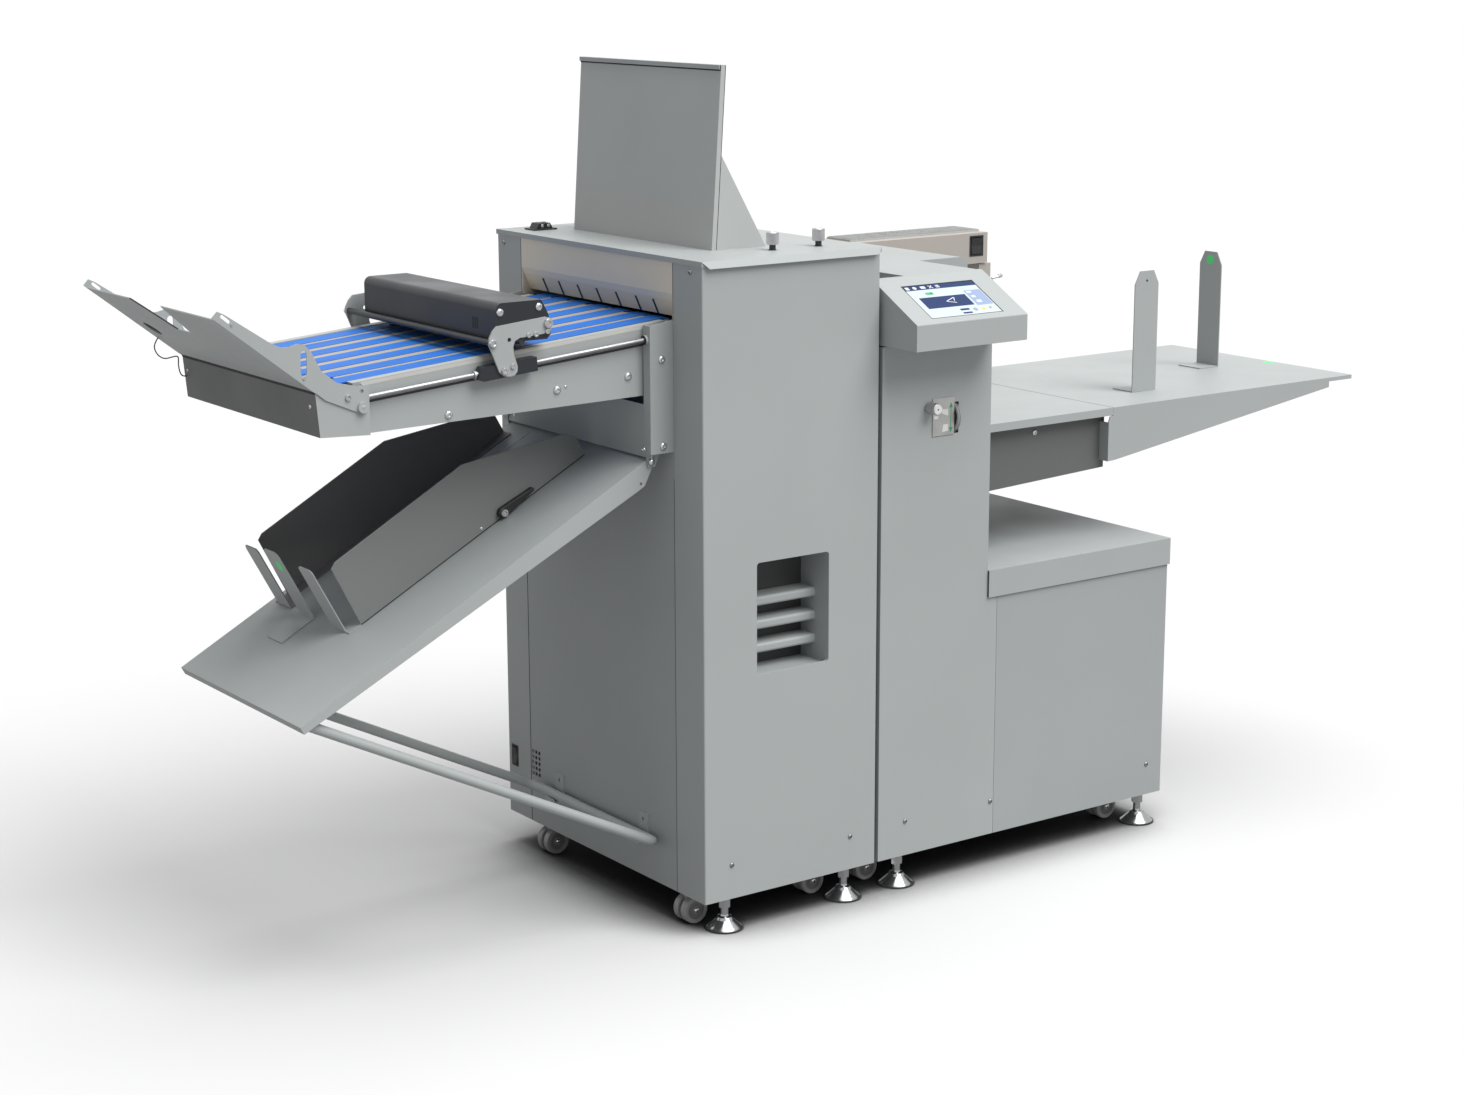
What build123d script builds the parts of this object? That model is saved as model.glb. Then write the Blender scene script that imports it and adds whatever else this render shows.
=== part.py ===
from build123d import *
import math
import os

# Floor-standing creaser and folder: a folding tower with a belted delivery conveyor and a catch
# tray on its left, and a pile feeder with a console and a lifting table on its right.
# Drawn in millimetres from the tower's left face (X), its front face (Y) and the floor (Z).
# Exported with the origin at the centre of the front left foot's pad.

# ---------- driving dimensions ----------
TOWER_W = 424.5
DEPTH = 740.0
CABINET_BOTTOM = 68.2
COVER_TOP = 1331.7
SKIN = 2.0
MID_Y = 372.0                # centre plane of the paper path
FRAME_Y0 = 97.0              # outer faces of the two inner side plates
FRAME_Y1 = 2 * MID_Y - FRAME_Y0
FRAME_T = 6.0
FIT = 0.05                   # radial running clearance
GAP = 0.3                    # clearance between faces that pass each other

FOOT_X = (63.5, 362.0, 502.0, 1189.5)
FOOT_Y = 25.0
CASTOR_X = (32.0, 325.0, 465.5, 1148.0)
CASTOR_Y = (98.0, 616.0)
CASTOR_R = 28.0
CASTOR_Z = CASTOR_R

BELT_Y = [MID_Y + d for d in (-200, -140, -70, 0, 70, 140, 200)]
BELT_W = 45.0
BELT_T = 1.5
CONVEYOR_SLOPE = 4.8
CONVEYOR_HEAD = (-57.0, 1204.0)      # a point on the belts' top plane
TAIL_S, HEAD_S = -630.0, 77.0        # roller centres along the slope
CONVEYOR_ROLLER_R = 15.0
ROD_R = 5.0
ROD_Y = 110.0
ROD_N = -26.2                        # rod centre below the belts' top plane

GATE_PIVOT = (-666.0, 1114.0)
TRAY_ANGLE = 28.16
TRAY_TOP = (-56.0, 941.0)
TRAY_Y0, TRAY_Y1 = 118.0, 626.0
TRAY_LEN = 843.0
TRAY_PIVOT = (-41.0, 941.0)
BAIL_R = 10.0
BAIL_U, BAIL_H = 826.0, -13.0        # bail pivot, down the tray and square to it
BAIL_Y = 140.0
BAIL_HOOK = (-15.0, 160.0)
BAIL_BEND = 35.0
BAIL_START = 5.0                     # the tube starts this far along from the eye's centre

FEEDER_X0, COLUMN_X1, FEEDER_X1 = 433.0, 717.0, 1234.2
COLUMN_TOP = 1133.0
HEAD_TOP = 1262.0
DECK_TOP = 643.7
TABLE_TOP = 930.0
TABLE_Y0, TABLE_Y1 = 80.0, 664.0
TABLE_X0, TABLE_JOIN, TABLE_X1 = 720.5, 1137.0, 1890.0
SHEET_SLOT = (190.0, 554.0, 1142.0, 1158.0)      # Y range and Z range of the paper passage

NIP = (230.0, 1168.0)
FOLD_ROLLER_R = 27.0
NIP_GAP = 0.6
CREASE_X = 380.0
DRUM_CENTRE = (783.0, 1117.0)
DRUM_R = 38.0

ORIGIN = (FOOT_X[0], FOOT_Y, 0.0)


# ---------- helpers ----------
def block(x0, x1, y0, y1, z0, z1):
    return Pos((x0 + x1) / 2, (y0 + y1) / 2, (z0 + z1) / 2) * Box(x1 - x0, y1 - y0, z1 - z0)


def prism_xz(points, y0, y1, at=Plane.XY):
    """A closed outline in X and Z, run along Y, in the frame of the plane given."""
    face = Plane.XZ.offset(-y1) * make_face(Polyline(*points, close=True))
    return at * extrude(face, y1 - y0)


def prism_yz(points, x0, x1):
    return extrude(Plane.YZ.offset(x0) * make_face(Polyline(*points, close=True)), x1 - x0)


def rod_y(x, z, r, y0, y1):
    return Pos(x, (y0 + y1) / 2, z) * Rot(90, 0, 0) * Cylinder(r, y1 - y0)


def rod_x(y, z, r, x0, x1):
    return Pos((x0 + x1) / 2, y, z) * Rot(0, 90, 0) * Cylinder(r, x1 - x0)


def rod_z(x, y, r, z0, z1):
    return Pos(x, y, (z0 + z1) / 2) * Cylinder(r, z1 - z0)


def mirror_y(shape):
    """The same piece on the other side of the paper path's centre plane."""
    return mirror(shape, about=Plane.XZ.offset(-MID_Y))


def both_sides(shape):
    return [shape, mirror_y(shape)]


def sloped_plane(origin_xz, degrees):
    """X runs up the slope, Y across, Z square to it."""
    a = math.radians(degrees)
    return Plane(
        origin=(origin_xz[0], 0, origin_xz[1]),
        x_dir=(math.cos(a), 0, math.sin(a)),
        z_dir=(-math.sin(a), 0, math.cos(a)),
    )


CONVEYOR = sloped_plane(CONVEYOR_HEAD, CONVEYOR_SLOPE)
TRAY = sloped_plane(TRAY_TOP, TRAY_ANGLE)


def on_slope(plane, s, n):
    """X and Z of a point at s along a sloped plane and n above it."""
    p = plane.from_local_coords((s, 0, n))
    return p.X, p.Z


def tray_block(u0, u1, y0, y1, h0, h1):
    """A block on the catch tray: u runs down the slope, h stands up from it."""
    return TRAY * block(-u1, -u0, y0, y1, h0, h1)


def tray_prism(points, y0, y1):
    return prism_xz([(-u, h) for u, h in points], y0, y1, at=TRAY)


def conveyor_rod(y, n, r, s0, s1):
    return CONVEYOR * rod_x(y, n, r, s0, s1)


# ---------- folding tower ----------
def tower_frame():
    z0 = CABINET_BOTTOM
    x0, x1 = SKIN, TOWER_W - SKIN
    tray = block(x0, x1, SKIN, DEPTH - SKIN, z0, z0 + 20)
    tray -= block(x0 + 3, x1 - 3, SKIN + 3, DEPTH - SKIN - 3, z0 + 3, z0 + 20)
    for x in FOOT_X[:2]:
        tray -= rod_z(x, FOOT_Y, 8.0 + FIT, z0, z0 + 3)

    plate = block(x0, x1, FRAME_Y0, FRAME_Y0 + FRAME_T, z0 + 3, 1312)
    plate -= block(x0, x0 + 3, FRAME_Y0, FRAME_Y0 + FRAME_T, z0 + 3, z0 + 20)
    plate -= block(x1 - 3, x1, FRAME_Y0, FRAME_Y0 + FRAME_T, z0 + 3, z0 + 20)
    plate -= block(x0, 24, FRAME_Y0, FRAME_Y0 + FRAME_T, 1205, 1280)
    for wx0, wz0 in ((80, 130), (80, 640)):
        plate -= fillet(block(wx0, 345, 90, 110, wz0, wz0 + 240).edges().filter_by(Axis.Y), 25)
    head_x, head_z = on_slope(CONVEYOR, HEAD_S, -CONVEYOR_ROLLER_R - BELT_T - GAP)
    plate -= rod_y(head_x, head_z, 6 + FIT, 90, 110)
    for side in (1, -1):
        plate -= rod_y(NIP[0], NIP[1] + side * (FOLD_ROLLER_R + NIP_GAP / 2), 8 + FIT, 90, 110)
    plate -= block(CREASE_X - 2, CREASE_X + 2, 90, 110, 1156, 1200)
    plate -= block(268, 302, 90, 110, NIP[1] - 4, NIP[1] + 4)

    ties = []
    for x, z in ((30, 110), (395, 110), (40, 560), (390, 560), (390, 1285)):
        ties.append(rod_y(x, z, 10, FRAME_Y0 + FRAME_T, FRAME_Y1 - FRAME_T))
    anvil = block(CREASE_X - 10, CREASE_X + 10, FRAME_Y0 + FRAME_T, FRAME_Y1 - FRAME_T, 1122, 1146)
    anvil -= block(CREASE_X - 1.5, CREASE_X + 1.5, FRAME_Y0, FRAME_Y1, 1143, 1146)

    left = block(0, SKIN, FRAME_Y0, FRAME_Y1, z0, 1150)
    left -= block(0, SKIN, 130, 614, 974, 990)
    for col in range(3):
        for row in range(5):
            y = 610 + col * 12.5
            z = 173 + row * 12.2
            left -= block(0, SKIN, y, y + 9, z, z + 8)
    right = block(TOWER_W - SKIN, TOWER_W, FRAME_Y0, FRAME_Y1, z0, COVER_TOP - SKIN)
    right -= block(TOWER_W - SKIN, TOWER_W, *SHEET_SLOT)
    return Compound([tray, *both_sides(plate), *ties, anvil, left, right])


RACK_X0, RACK_X1, RACK_Z0, RACK_Z1 = 126.0, 302.0, 516.0, 740.0
RACK_BACK = 92.0
RACK_WALL = 2.0
RACK_LIP = 9.0


def u_cover(y_face, y_edge):
    """Sheet cover: one wide face and a return along each side, with rounded bends."""
    y0, y1 = sorted((y_face, y_edge))
    outer = block(0, TOWER_W, y0, y1, CABINET_BOTTOM, COVER_TOP - SKIN)
    bends = outer.edges().filter_by(Axis.Z).sort_by(lambda e: abs(e.center().Y - y_face))[:2]
    outer = fillet(bends, 3)
    inner_y = sorted((y_face + (SKIN if y_edge > y_face else -SKIN), y_edge))
    return outer - block(SKIN, TOWER_W - SKIN, *inner_y, CABINET_BOTTOM, COVER_TOP - SKIN)


def tower_front_cover():
    cover = u_cover(0, FRAME_Y0 - 0.6)
    lip = block(RACK_X0 - 2, RACK_X1 + 2, SKIN, RACK_LIP, RACK_Z0 - 2, RACK_Z1 + 2)
    window = block(RACK_X0, RACK_X1, -1, RACK_LIP, RACK_Z0, RACK_Z1)
    window = fillet(window.edges().filter_by(Axis.Y), 7)
    return cover + lip - window


def tower_rear_cover():
    cover = u_cover(DEPTH, FRAME_Y1 + 0.8)
    cover -= block(0, SKIN, 703.5, 723.5, 177.5, 218.5)
    vents = [block(y, y + 120, DEPTH - SKIN, DEPTH, z, z + 8)
             for y in (70, 235) for z in range(900, 1020, 24)]
    return cover - vents


def tower_top_cover():
    over = 2.0
    lid = block(-over, TOWER_W + over, -over, DEPTH + over, COVER_TOP - 10, COVER_TOP)
    lid -= block(0, TOWER_W, 0, DEPTH, COVER_TOP - 10, COVER_TOP - SKIN)
    drip_y, drop, mitre = -10.5, 14.0, 15.0
    drip = prism_yz([(-over, COVER_TOP - 3.5), (-over, COVER_TOP), (drip_y, COVER_TOP - drop + 0.8),
                     (drip_y + 1.8, COVER_TOP - drop)], -over, TOWER_W + over)
    for x, inwards in ((-over, mitre), (TOWER_W + over, -mitre)):
        drip -= prism_xz([(x, COVER_TOP), (x + inwards, COVER_TOP - drop - 1), (x, COVER_TOP - drop - 1)],
                         drip_y - 1, -over)
    lid += drip
    for x, y in KNOB_PLACES:
        lid -= rod_z(x, y, 3.1, COVER_TOP - 12, COVER_TOP + 1)
    return lid


KNOB_PLACES = ((223.0, 81.0), (336.0, 83.0))


def cover_knob(x, y):
    """Silver cap on a black stud that turns in the cover, kept by a washer under the sheet."""
    z = COVER_TOP + GAP
    cap = rod_z(x, y, 11.5, z + 11, z + 34)
    cap = chamfer(cap.edges().sort_by(Axis.Z)[-1], 1)
    stud = rod_z(x, y, 6, z, z + 11) + rod_z(x, y, 3, COVER_TOP - 7, z)
    washer = rod_z(x, y, 6.5, COVER_TOP - 7, COVER_TOP - SKIN - GAP)
    return Compound([cap, stud + washer])


def exit_hood():
    """Bent sheet that closes the tower's side above the belts, slotted at each belt."""
    outline = [(0, COVER_TOP - SKIN), (0, 1262), (3, 1250), (18, 1216.5), (20, 1217.4),
               (5, 1251), (2, 1263), (2, COVER_TOP - SKIN)]
    hood = prism_xz(outline, FRAME_Y0, FRAME_Y1)
    for y in BELT_Y:
        hood -= block(-1, 30, y - 2.4, y + 2.4, 1210, 1243) + rod_x(y, 1243, 2.4, -1, 30)
    cheek = prism_xz([(0, 1206), (23, 1206), (23, 1216), (18.2, 1216.4), (3, 1250), (0, 1262)],
                     FRAME_Y0, FRAME_Y0 + SKIN)
    return hood + cheek + mirror_y(cheek)


def tool_rack():
    """Moulded recess with a floor and three round-nosed shelves."""
    rack = block(RACK_X0 - RACK_WALL, RACK_X1 + RACK_WALL, RACK_LIP, RACK_BACK + RACK_WALL,
                 RACK_Z0 - 7, RACK_Z1 + RACK_WALL)
    rack -= block(RACK_X0, RACK_X1, RACK_LIP, RACK_BACK, RACK_Z0 - 5, RACK_Z1)
    for nose_z in (639.5, 592.0, 544.0):
        shelf = block(RACK_X0, RACK_X1, 45, RACK_BACK, nose_z, nose_z + 19)
        nose = shelf.edges().filter_by(Axis.X).group_by(Axis.Y)[0]
        rack += fillet(nose, 6)
    return rack


GUIDE_FOOT_X, GUIDE_LEAN, GUIDE_TOP = 123.0, 24.0, 1683.0


def sheet_guide_plate():
    """Folded plate that leans over the cover, stiffened by edge flanges and gussets."""
    z0, z1 = COVER_TOP, GUIDE_TOP
    x0, x1 = GUIDE_FOOT_X, GUIDE_FOOT_X + GUIDE_LEAN
    y0, y1 = 142.5, 637.0
    plate = prism_xz([(x0, z0), (x0 + 2, z0), (x1 + 2, z1), (x1, z1)], y0, y1)
    flange = prism_xz([(x0, z0), (x0 + 10, z0), (x1 + 10, z1), (x1, z1)], y0, y0 + SKIN)
    gusset_z = 1515.0
    gusset_x = x0 + 10 + (gusset_z - z0) / (z1 - z0) * GUIDE_LEAN
    gusset = prism_xz([(x0 + 8, z0), (252, z0), (gusset_x, gusset_z), (gusset_x - 2, gusset_z)], y0, y0 + SKIN)
    far = mirror(flange + gusset, about=Plane.XZ.offset(-(y0 + y1) / 2))
    hem = prism_xz([(x1 - 0.2, z1 - 3), (x1 + 10, z1 - 3), (x1 + 10, z1), (x1, z1)], y0, y1)
    foot = block(x0, x0 + 24, y0, y1, z0, z0 + SKIN)
    pod_base = block(38, 93, 655, 694, COVER_TOP, COVER_TOP + 3)
    pod_base = fillet(pod_base.edges().filter_by(Axis.Z), 4)
    pod_top = prism_xz([(46, COVER_TOP + 3), (52, COVER_TOP + 14), (79, COVER_TOP + 14), (85, COVER_TOP + 3)],
                       660, 688)
    pod_top += rod_z(58, 674, 4, COVER_TOP + 14, COVER_TOP + 16)
    pod_top += rod_z(73, 674, 4, COVER_TOP + 14, COVER_TOP + 16)
    return Compound([plate + flange + gusset + far + hem + foot, pod_base + pod_top])


def levelling_feet():
    profile = [(0, 0), (37.5, 0), (37.5, 2.5), (34, 5), (18, 20), (15, 25), (9, 27), (8, 30), (8, 45), (0, 45)]
    feet = []
    for x in FOOT_X:
        pad = revolve(Plane.XZ * make_face(Polyline(*profile, close=True)), Axis.Z)
        hexagon = Pos(0, 0, 45) * extrude(RegularPolygon(12.5, 6), CABINET_BOTTOM - 45)
        stud = rod_z(0, 0, 8, 45, CABINET_BOTTOM + 18)
        nut = Pos(0, 0, CABINET_BOTTOM + 3) * extrude(RegularPolygon(12.5, 6), 10)
        feet.append(Pos(x, FOOT_Y, 0) * (pad + hexagon + stud + nut))
    return Compound(feet)


def castor_forks():
    forks = []
    for x in CASTOR_X:
        for y in CASTOR_Y:
            plate = block(x - 26, x + 26, y - 26, y + 26, CABINET_BOTTOM - 3, CABINET_BOTTOM)
            neck = rod_z(x, y, 11, 58, CABINET_BOTTOM - 3)
            body = prism_xz([(x - 12, 58), (x + 12, 58), (x + 9, 21), (x - 9, 21)], y - 4, y + 4)
            axle = rod_y(x, CASTOR_Z, 4, y - 21, y + 21)
            forks.append(plate + neck + body + axle)
    return Compound(forks)


def castor_wheels(x, y):
    wheels = []
    for side in (-1, 1):
        y_mid = y + side * 12.5
        wheel = fillet(rod_y(0, 0, CASTOR_R, -8, 8).edges().filter_by(GeomType.CIRCLE), 2.5)
        wheel -= rod_y(0, 0, 4 + FIT, -9, 9)
        dish = rod_y(0, 0, 19, 5, 9) - rod_y(0, 0, 8, 5, 9)
        wheel -= dish if side > 0 else mirror(dish, about=Plane.XZ)
        wheels.append(Pos(x, y_mid, CASTOR_Z) * wheel)
    return Compound(wheels)


# ---------- folding mechanism ----------
def fold_roller(side):
    z = NIP[1] + side * (FOLD_ROLLER_R + NIP_GAP / 2)
    body = rod_y(NIP[0], z, FOLD_ROLLER_R, FRAME_Y0 + FRAME_T + 2, FRAME_Y1 - FRAME_T - 2)
    for y in range(130, 630, 40):
        groove = rod_y(NIP[0], z, FOLD_ROLLER_R + 1, y, y + 6) - rod_y(NIP[0], z, FOLD_ROLLER_R - 2, y, y + 6)
        body -= groove
    return body + rod_y(NIP[0], z, 8, FRAME_Y0 - 10, FRAME_Y1 + 10)


def fold_knife():
    """Thin blade that pushes the sheet into the nip; its tabs run in the side plates' slots."""
    z = NIP[1]
    blade = prism_xz([(262, z), (266, z + 1), (296, z + 1), (296, z - 1), (266, z - 1)], 125, 619)
    spine = block(290, 300, 106, 638, z - 5, z + 5)
    tabs = both_sides(block(290, 300, FRAME_Y0 - 8, 106, z - 3, z + 3))
    return blade + spine + tabs


def crease_blade():
    blade = prism_xz([(CREASE_X, 1150), (CREASE_X + 1.2, 1154), (CREASE_X + 1.2, 1196),
                      (CREASE_X - 1.2, 1196), (CREASE_X - 1.2, 1154)], 125, 619)
    spine = block(CREASE_X - 6, CREASE_X + 6, 106, 638, 1190, 1208)
    tabs = both_sides(block(CREASE_X - 1.5, CREASE_X + 1.5, FRAME_Y0 - 8, 110, 1168, 1196))
    return blade + spine + tabs


def drive_motor():
    """Geared motor bolted to the inside of the near side plate."""
    y0 = FRAME_Y0 + FRAME_T
    gearbox = fillet(block(150, 250, y0, y0 + 60, 420, 500).edges().filter_by(Axis.Y), 12)
    motor = rod_y(200, 460, 38, y0 + 60, y0 + 200)
    cooling = [rod_y(200, 460, 42, y, y + 4) for y in range(180, 290, 12)]
    return gearbox + motor + cooling


# ---------- delivery conveyor ----------
def side_brackets():
    """Channels on the tower's side, the panel between them, tray lugs, chute and bail hooks."""
    web = prism_xz([(-53, 958), (0, 958), (0, 1213), (-53, 1205)], FRAME_Y0, FRAME_Y0 + 3)
    lip = block(-53, -50, FRAME_Y0 + 3, FRAME_Y0 + 23, 958, 1205)
    back = block(-3, 0, FRAME_Y0 + 3, FRAME_Y0 + 20, 958, 1150)
    channel = web + lip + back - conveyor_rod(ROD_Y, ROD_N, ROD_R + FIT, -20, 30)
    bush = conveyor_rod(ROD_Y, ROD_N, 9, -3, 3.5) - conveyor_rod(ROD_Y, ROD_N, ROD_R + FIT, -20, 30)
    lug = prism_xz([(0, 990), (-50, 990), (-52, 956), (-48, 931), (-33, 931), (-22, 956), (0, 962)], 114, 117)
    pin = rod_y(*TRAY_PIVOT, 4, 112, 126)
    hook = prism_xz([(0, 202), (-3, 202), (-3, 149.6), (-25.6, 149.6), (-25.6, 154), (-28.6, 154),
                     (-28.6, 146.6), (0, 146.6)], 198, 229)
    hook -= rod_x(213.5, 189, 4, -4, 1)
    panel = block(-50, -48, FRAME_Y0 + 3, FRAME_Y1 - 3, 950, 1052)
    chute = prism_xz([(0, 972), (-34, 958), (-34, 956), (0, 970)], 128, 616)
    near = [channel + lug + pin, bush, hook]
    return Compound(near + [mirror_y(s) for s in near] + [panel, chute])


def conveyor_rails():
    top = [(-669, 1153.6), (0, 1208.8)]
    slope = (top[1][1] - top[0][1]) / (top[1][0] - top[0][0])
    web = prism_xz([top[0], (-637, 1060.4), (0, 1070.2), (0, 1150), (0, top[1][1])], 124, 127)
    drop = 3.0
    flange = prism_xz([top[0], (top[0][0] + 1, top[0][1] - drop), (0, top[1][1] - drop), top[1]], 127, 144)
    return Compound(both_sides(web + flange))


def belt_bed():
    """Slide bed between the rails, with a raised strip in each gap between belts."""
    s0, s1 = -604, 57
    bed = CONVEYOR * block(s0, s1, 127, 617, -9, -6)
    bed += CONVEYOR * block(s0, s1, 146, 598, -6, -BELT_T)
    for left, right in zip(BELT_Y, BELT_Y[1:]):
        middle = (left + right) / 2
        half = (right - left - BELT_W) / 2 - 2
        bed += CONVEYOR * block(s0 - 6, s1 + 5, middle - half, middle + half, -6, -0.4)
    return bed


def belt_loop(y, r):
    outline = Pos((TAIL_S + HEAD_S) / 2, 0) * SlotCenterToCenter(HEAD_S - TAIL_S, 2 * r)
    loop = extrude(Plane.XZ.offset(-(y + BELT_W / 2)) * outline, BELT_W)
    return CONVEYOR * Pos(0, 0, -CONVEYOR_ROLLER_R - BELT_T - GAP) * loop


def conveyor_belts():
    inner_r = CONVEYOR_ROLLER_R + GAP
    return Compound([belt_loop(y, inner_r + BELT_T) - belt_loop(y, inner_r) for y in BELT_Y])


def conveyor_roller(s, y_end, shaft_r):
    x, z = on_slope(CONVEYOR, s, -CONVEYOR_ROLLER_R - BELT_T - GAP)
    body = rod_y(x, z, CONVEYOR_ROLLER_R, 132, 2 * MID_Y - 132)
    return body + rod_y(x, z, shaft_r, y_end, 2 * MID_Y - y_end)


END_BOX = [(-650, 1062), (-748.5, 1067), (-755.35, 1145), (-650, 1153)]


def conveyor_end_box():
    cheek = prism_xz(END_BOX, FRAME_Y0, FRAME_Y0 + 2.5)
    tail_x, tail_z = on_slope(CONVEYOR, TAIL_S, -CONVEYOR_ROLLER_R - BELT_T - GAP)
    cheek -= rod_y(tail_x, tail_z, 6 + FIT, 90, 110)
    wall = block(-653, -650, FRAME_Y0 + 2.5, 123.7, 1064.5, 1150)
    wall -= conveyor_rod(ROD_Y, ROD_N, ROD_R + FIT, -620, -580)
    end = prism_xz([(-748.5, 1067), (-755.35, 1145), (-752.85, 1145), (-746, 1067)], FRAME_Y0, FRAME_Y1)
    floor = prism_xz([(-748.5, 1067), (-650, 1062), (-650, 1064.5), (-748.3, 1069.5)], FRAME_Y0, FRAME_Y1)
    bearer = block(-652, -650, FRAME_Y0, FRAME_Y1, 1062, 1085)
    bolt = rod_y(*GATE_PIVOT, 6, 92, FRAME_Y0) + rod_y(*GATE_PIVOT, 10, 88, 93.6)
    return Compound([end + floor + bearer + both_sides(cheek) + both_sides(wall), *both_sides(bolt)])


def slide_rods():
    return Compound(both_sides(conveyor_rod(ROD_Y, ROD_N, ROD_R, -597.5, 8)))


# ---------- press-roller unit ----------
PRESS_PLATE_T = 4.0
PRESS_ROLLER_X = -332.0
PRESS_ROLLER_R = 19.0


def press_roller_centre():
    s = (PRESS_ROLLER_X - CONVEYOR_HEAD[0]) / math.cos(math.radians(CONVEYOR_SLOPE))
    return on_slope(CONVEYOR, s, PRESS_ROLLER_R + 0.8)


PRESS_BAR = (-398.0, 1203.5)
PRESS_TIE = (-302.0, 1252.0)


def press_carriage():
    """Side plates with a hooked outline and the tie for the hood."""
    outline = [(-389, 1233.5), (-285, 1243), (-274, 1240), (-271, 1230), (-274, 1217), (-281, 1213),
               (-322, 1209.4), (-340.5, 1209), (-351, 1204), (-355, 1194), (-354, 1180), (-346.5, 1157),
               (-347, 1148), (-353, 1141), (-363, 1139.6), (-375, 1141), (-385, 1149), (-393, 1169),
               (-406, 1200.6), (-405, 1212), (-398, 1225)]
    roller_x, roller_z = press_roller_centre()
    plate = prism_xz(outline, FRAME_Y0 - PRESS_PLATE_T, FRAME_Y0)
    plate -= rod_y(-363, 1207, 4, 90, 100)
    far_plate = mirror_y(plate)
    ear = mirror_y(prism_xz([(-345, 1205), (-319, 1205), (-319, 1228), (-345, 1228)],
                            FRAME_Y0, FRAME_Y0 + 6))
    bore = rod_y(roller_x, roller_z, 6 + FIT, FRAME_Y1 - 10, FRAME_Y1 + 6)
    tie = rod_y(*PRESS_TIE, 5, 600, FRAME_Y1)
    tie_pad = mirror_y(prism_xz([(-315, 1238), (-289, 1240), (-289, 1264), (-315, 1264)],
                                FRAME_Y0 - PRESS_PLATE_T, FRAME_Y0))
    return Compound([plate, (far_plate + ear + tie_pad) - bore, tie])


def rounded_top(body, radius):
    """Rounds the two long top edges, the right one by a third of the left one's radius."""
    left, right = body.edges().filter_by(Axis.Y).group_by(Axis.Z)[-1].sort_by(Axis.X)
    return fillet(fillet(left, radius).edges().filter_by(Axis.Y).group_by(Axis.Z)[-1].sort_by(Axis.X)[-1], radius / 3)


def press_housing():
    """Black hood over the press roller, its cross bar and the slide blocks on the two rods."""
    outline = [(-388, 1201.5), (-388, 1275), (-291, 1275), (-277, 1248), (-270.5, 1223), (-273, 1209),
               (-280, 1201.5)]
    inner = [(-385, 1190), (-385, 1272), (-293, 1272), (-280, 1247), (-273.5, 1222), (-277, 1210),
             (-277, 1190)]
    roller_x, roller_z = press_roller_centre()
    hood = rounded_top(prism_xz(outline, FRAME_Y0, 600), 14) - rounded_top(prism_xz(inner, FRAME_Y0 + 4, 596), 11)
    for y0, y1 in ((FRAME_Y0 - 1, FRAME_Y0 + 5), (595, 601)):
        hood -= rod_y(roller_x, roller_z, 6 + FIT, y0, y1)
    s0, s1 = -373, -248
    side_view = [(s0, ROD_N - 6), (s0 + 10, ROD_N + 13), (s1, ROD_N + 13), (s1, ROD_N - 13),
                 (s0 + 10, ROD_N - 13), (s0, ROD_N - 8)]
    slider = prism_xz(side_view, FRAME_Y0, 118, at=CONVEYOR)
    slider -= conveyor_rod(ROD_Y, ROD_N, ROD_R + FIT, s0 - 5, s1 + 5)
    bar = rod_y(*PRESS_BAR, 6, FRAME_Y0, FRAME_Y1)
    return Compound([hood, bar, *both_sides(slider)])


def press_roller():
    x, z = press_roller_centre()
    body = rod_y(x, z, PRESS_ROLLER_R, 147, 592)
    return body + rod_y(x, z, 6, FRAME_Y0 + 0.5, FRAME_Y1 + 3)


# ---------- winged sheet stop ----------
GATE_FOLD_BOTTOM = (-760.5, 1150.4)
GATE_FOLD_TOP = (-944.9, 1294.6)


GATE_EYE = (100.6, 586.0)


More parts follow.
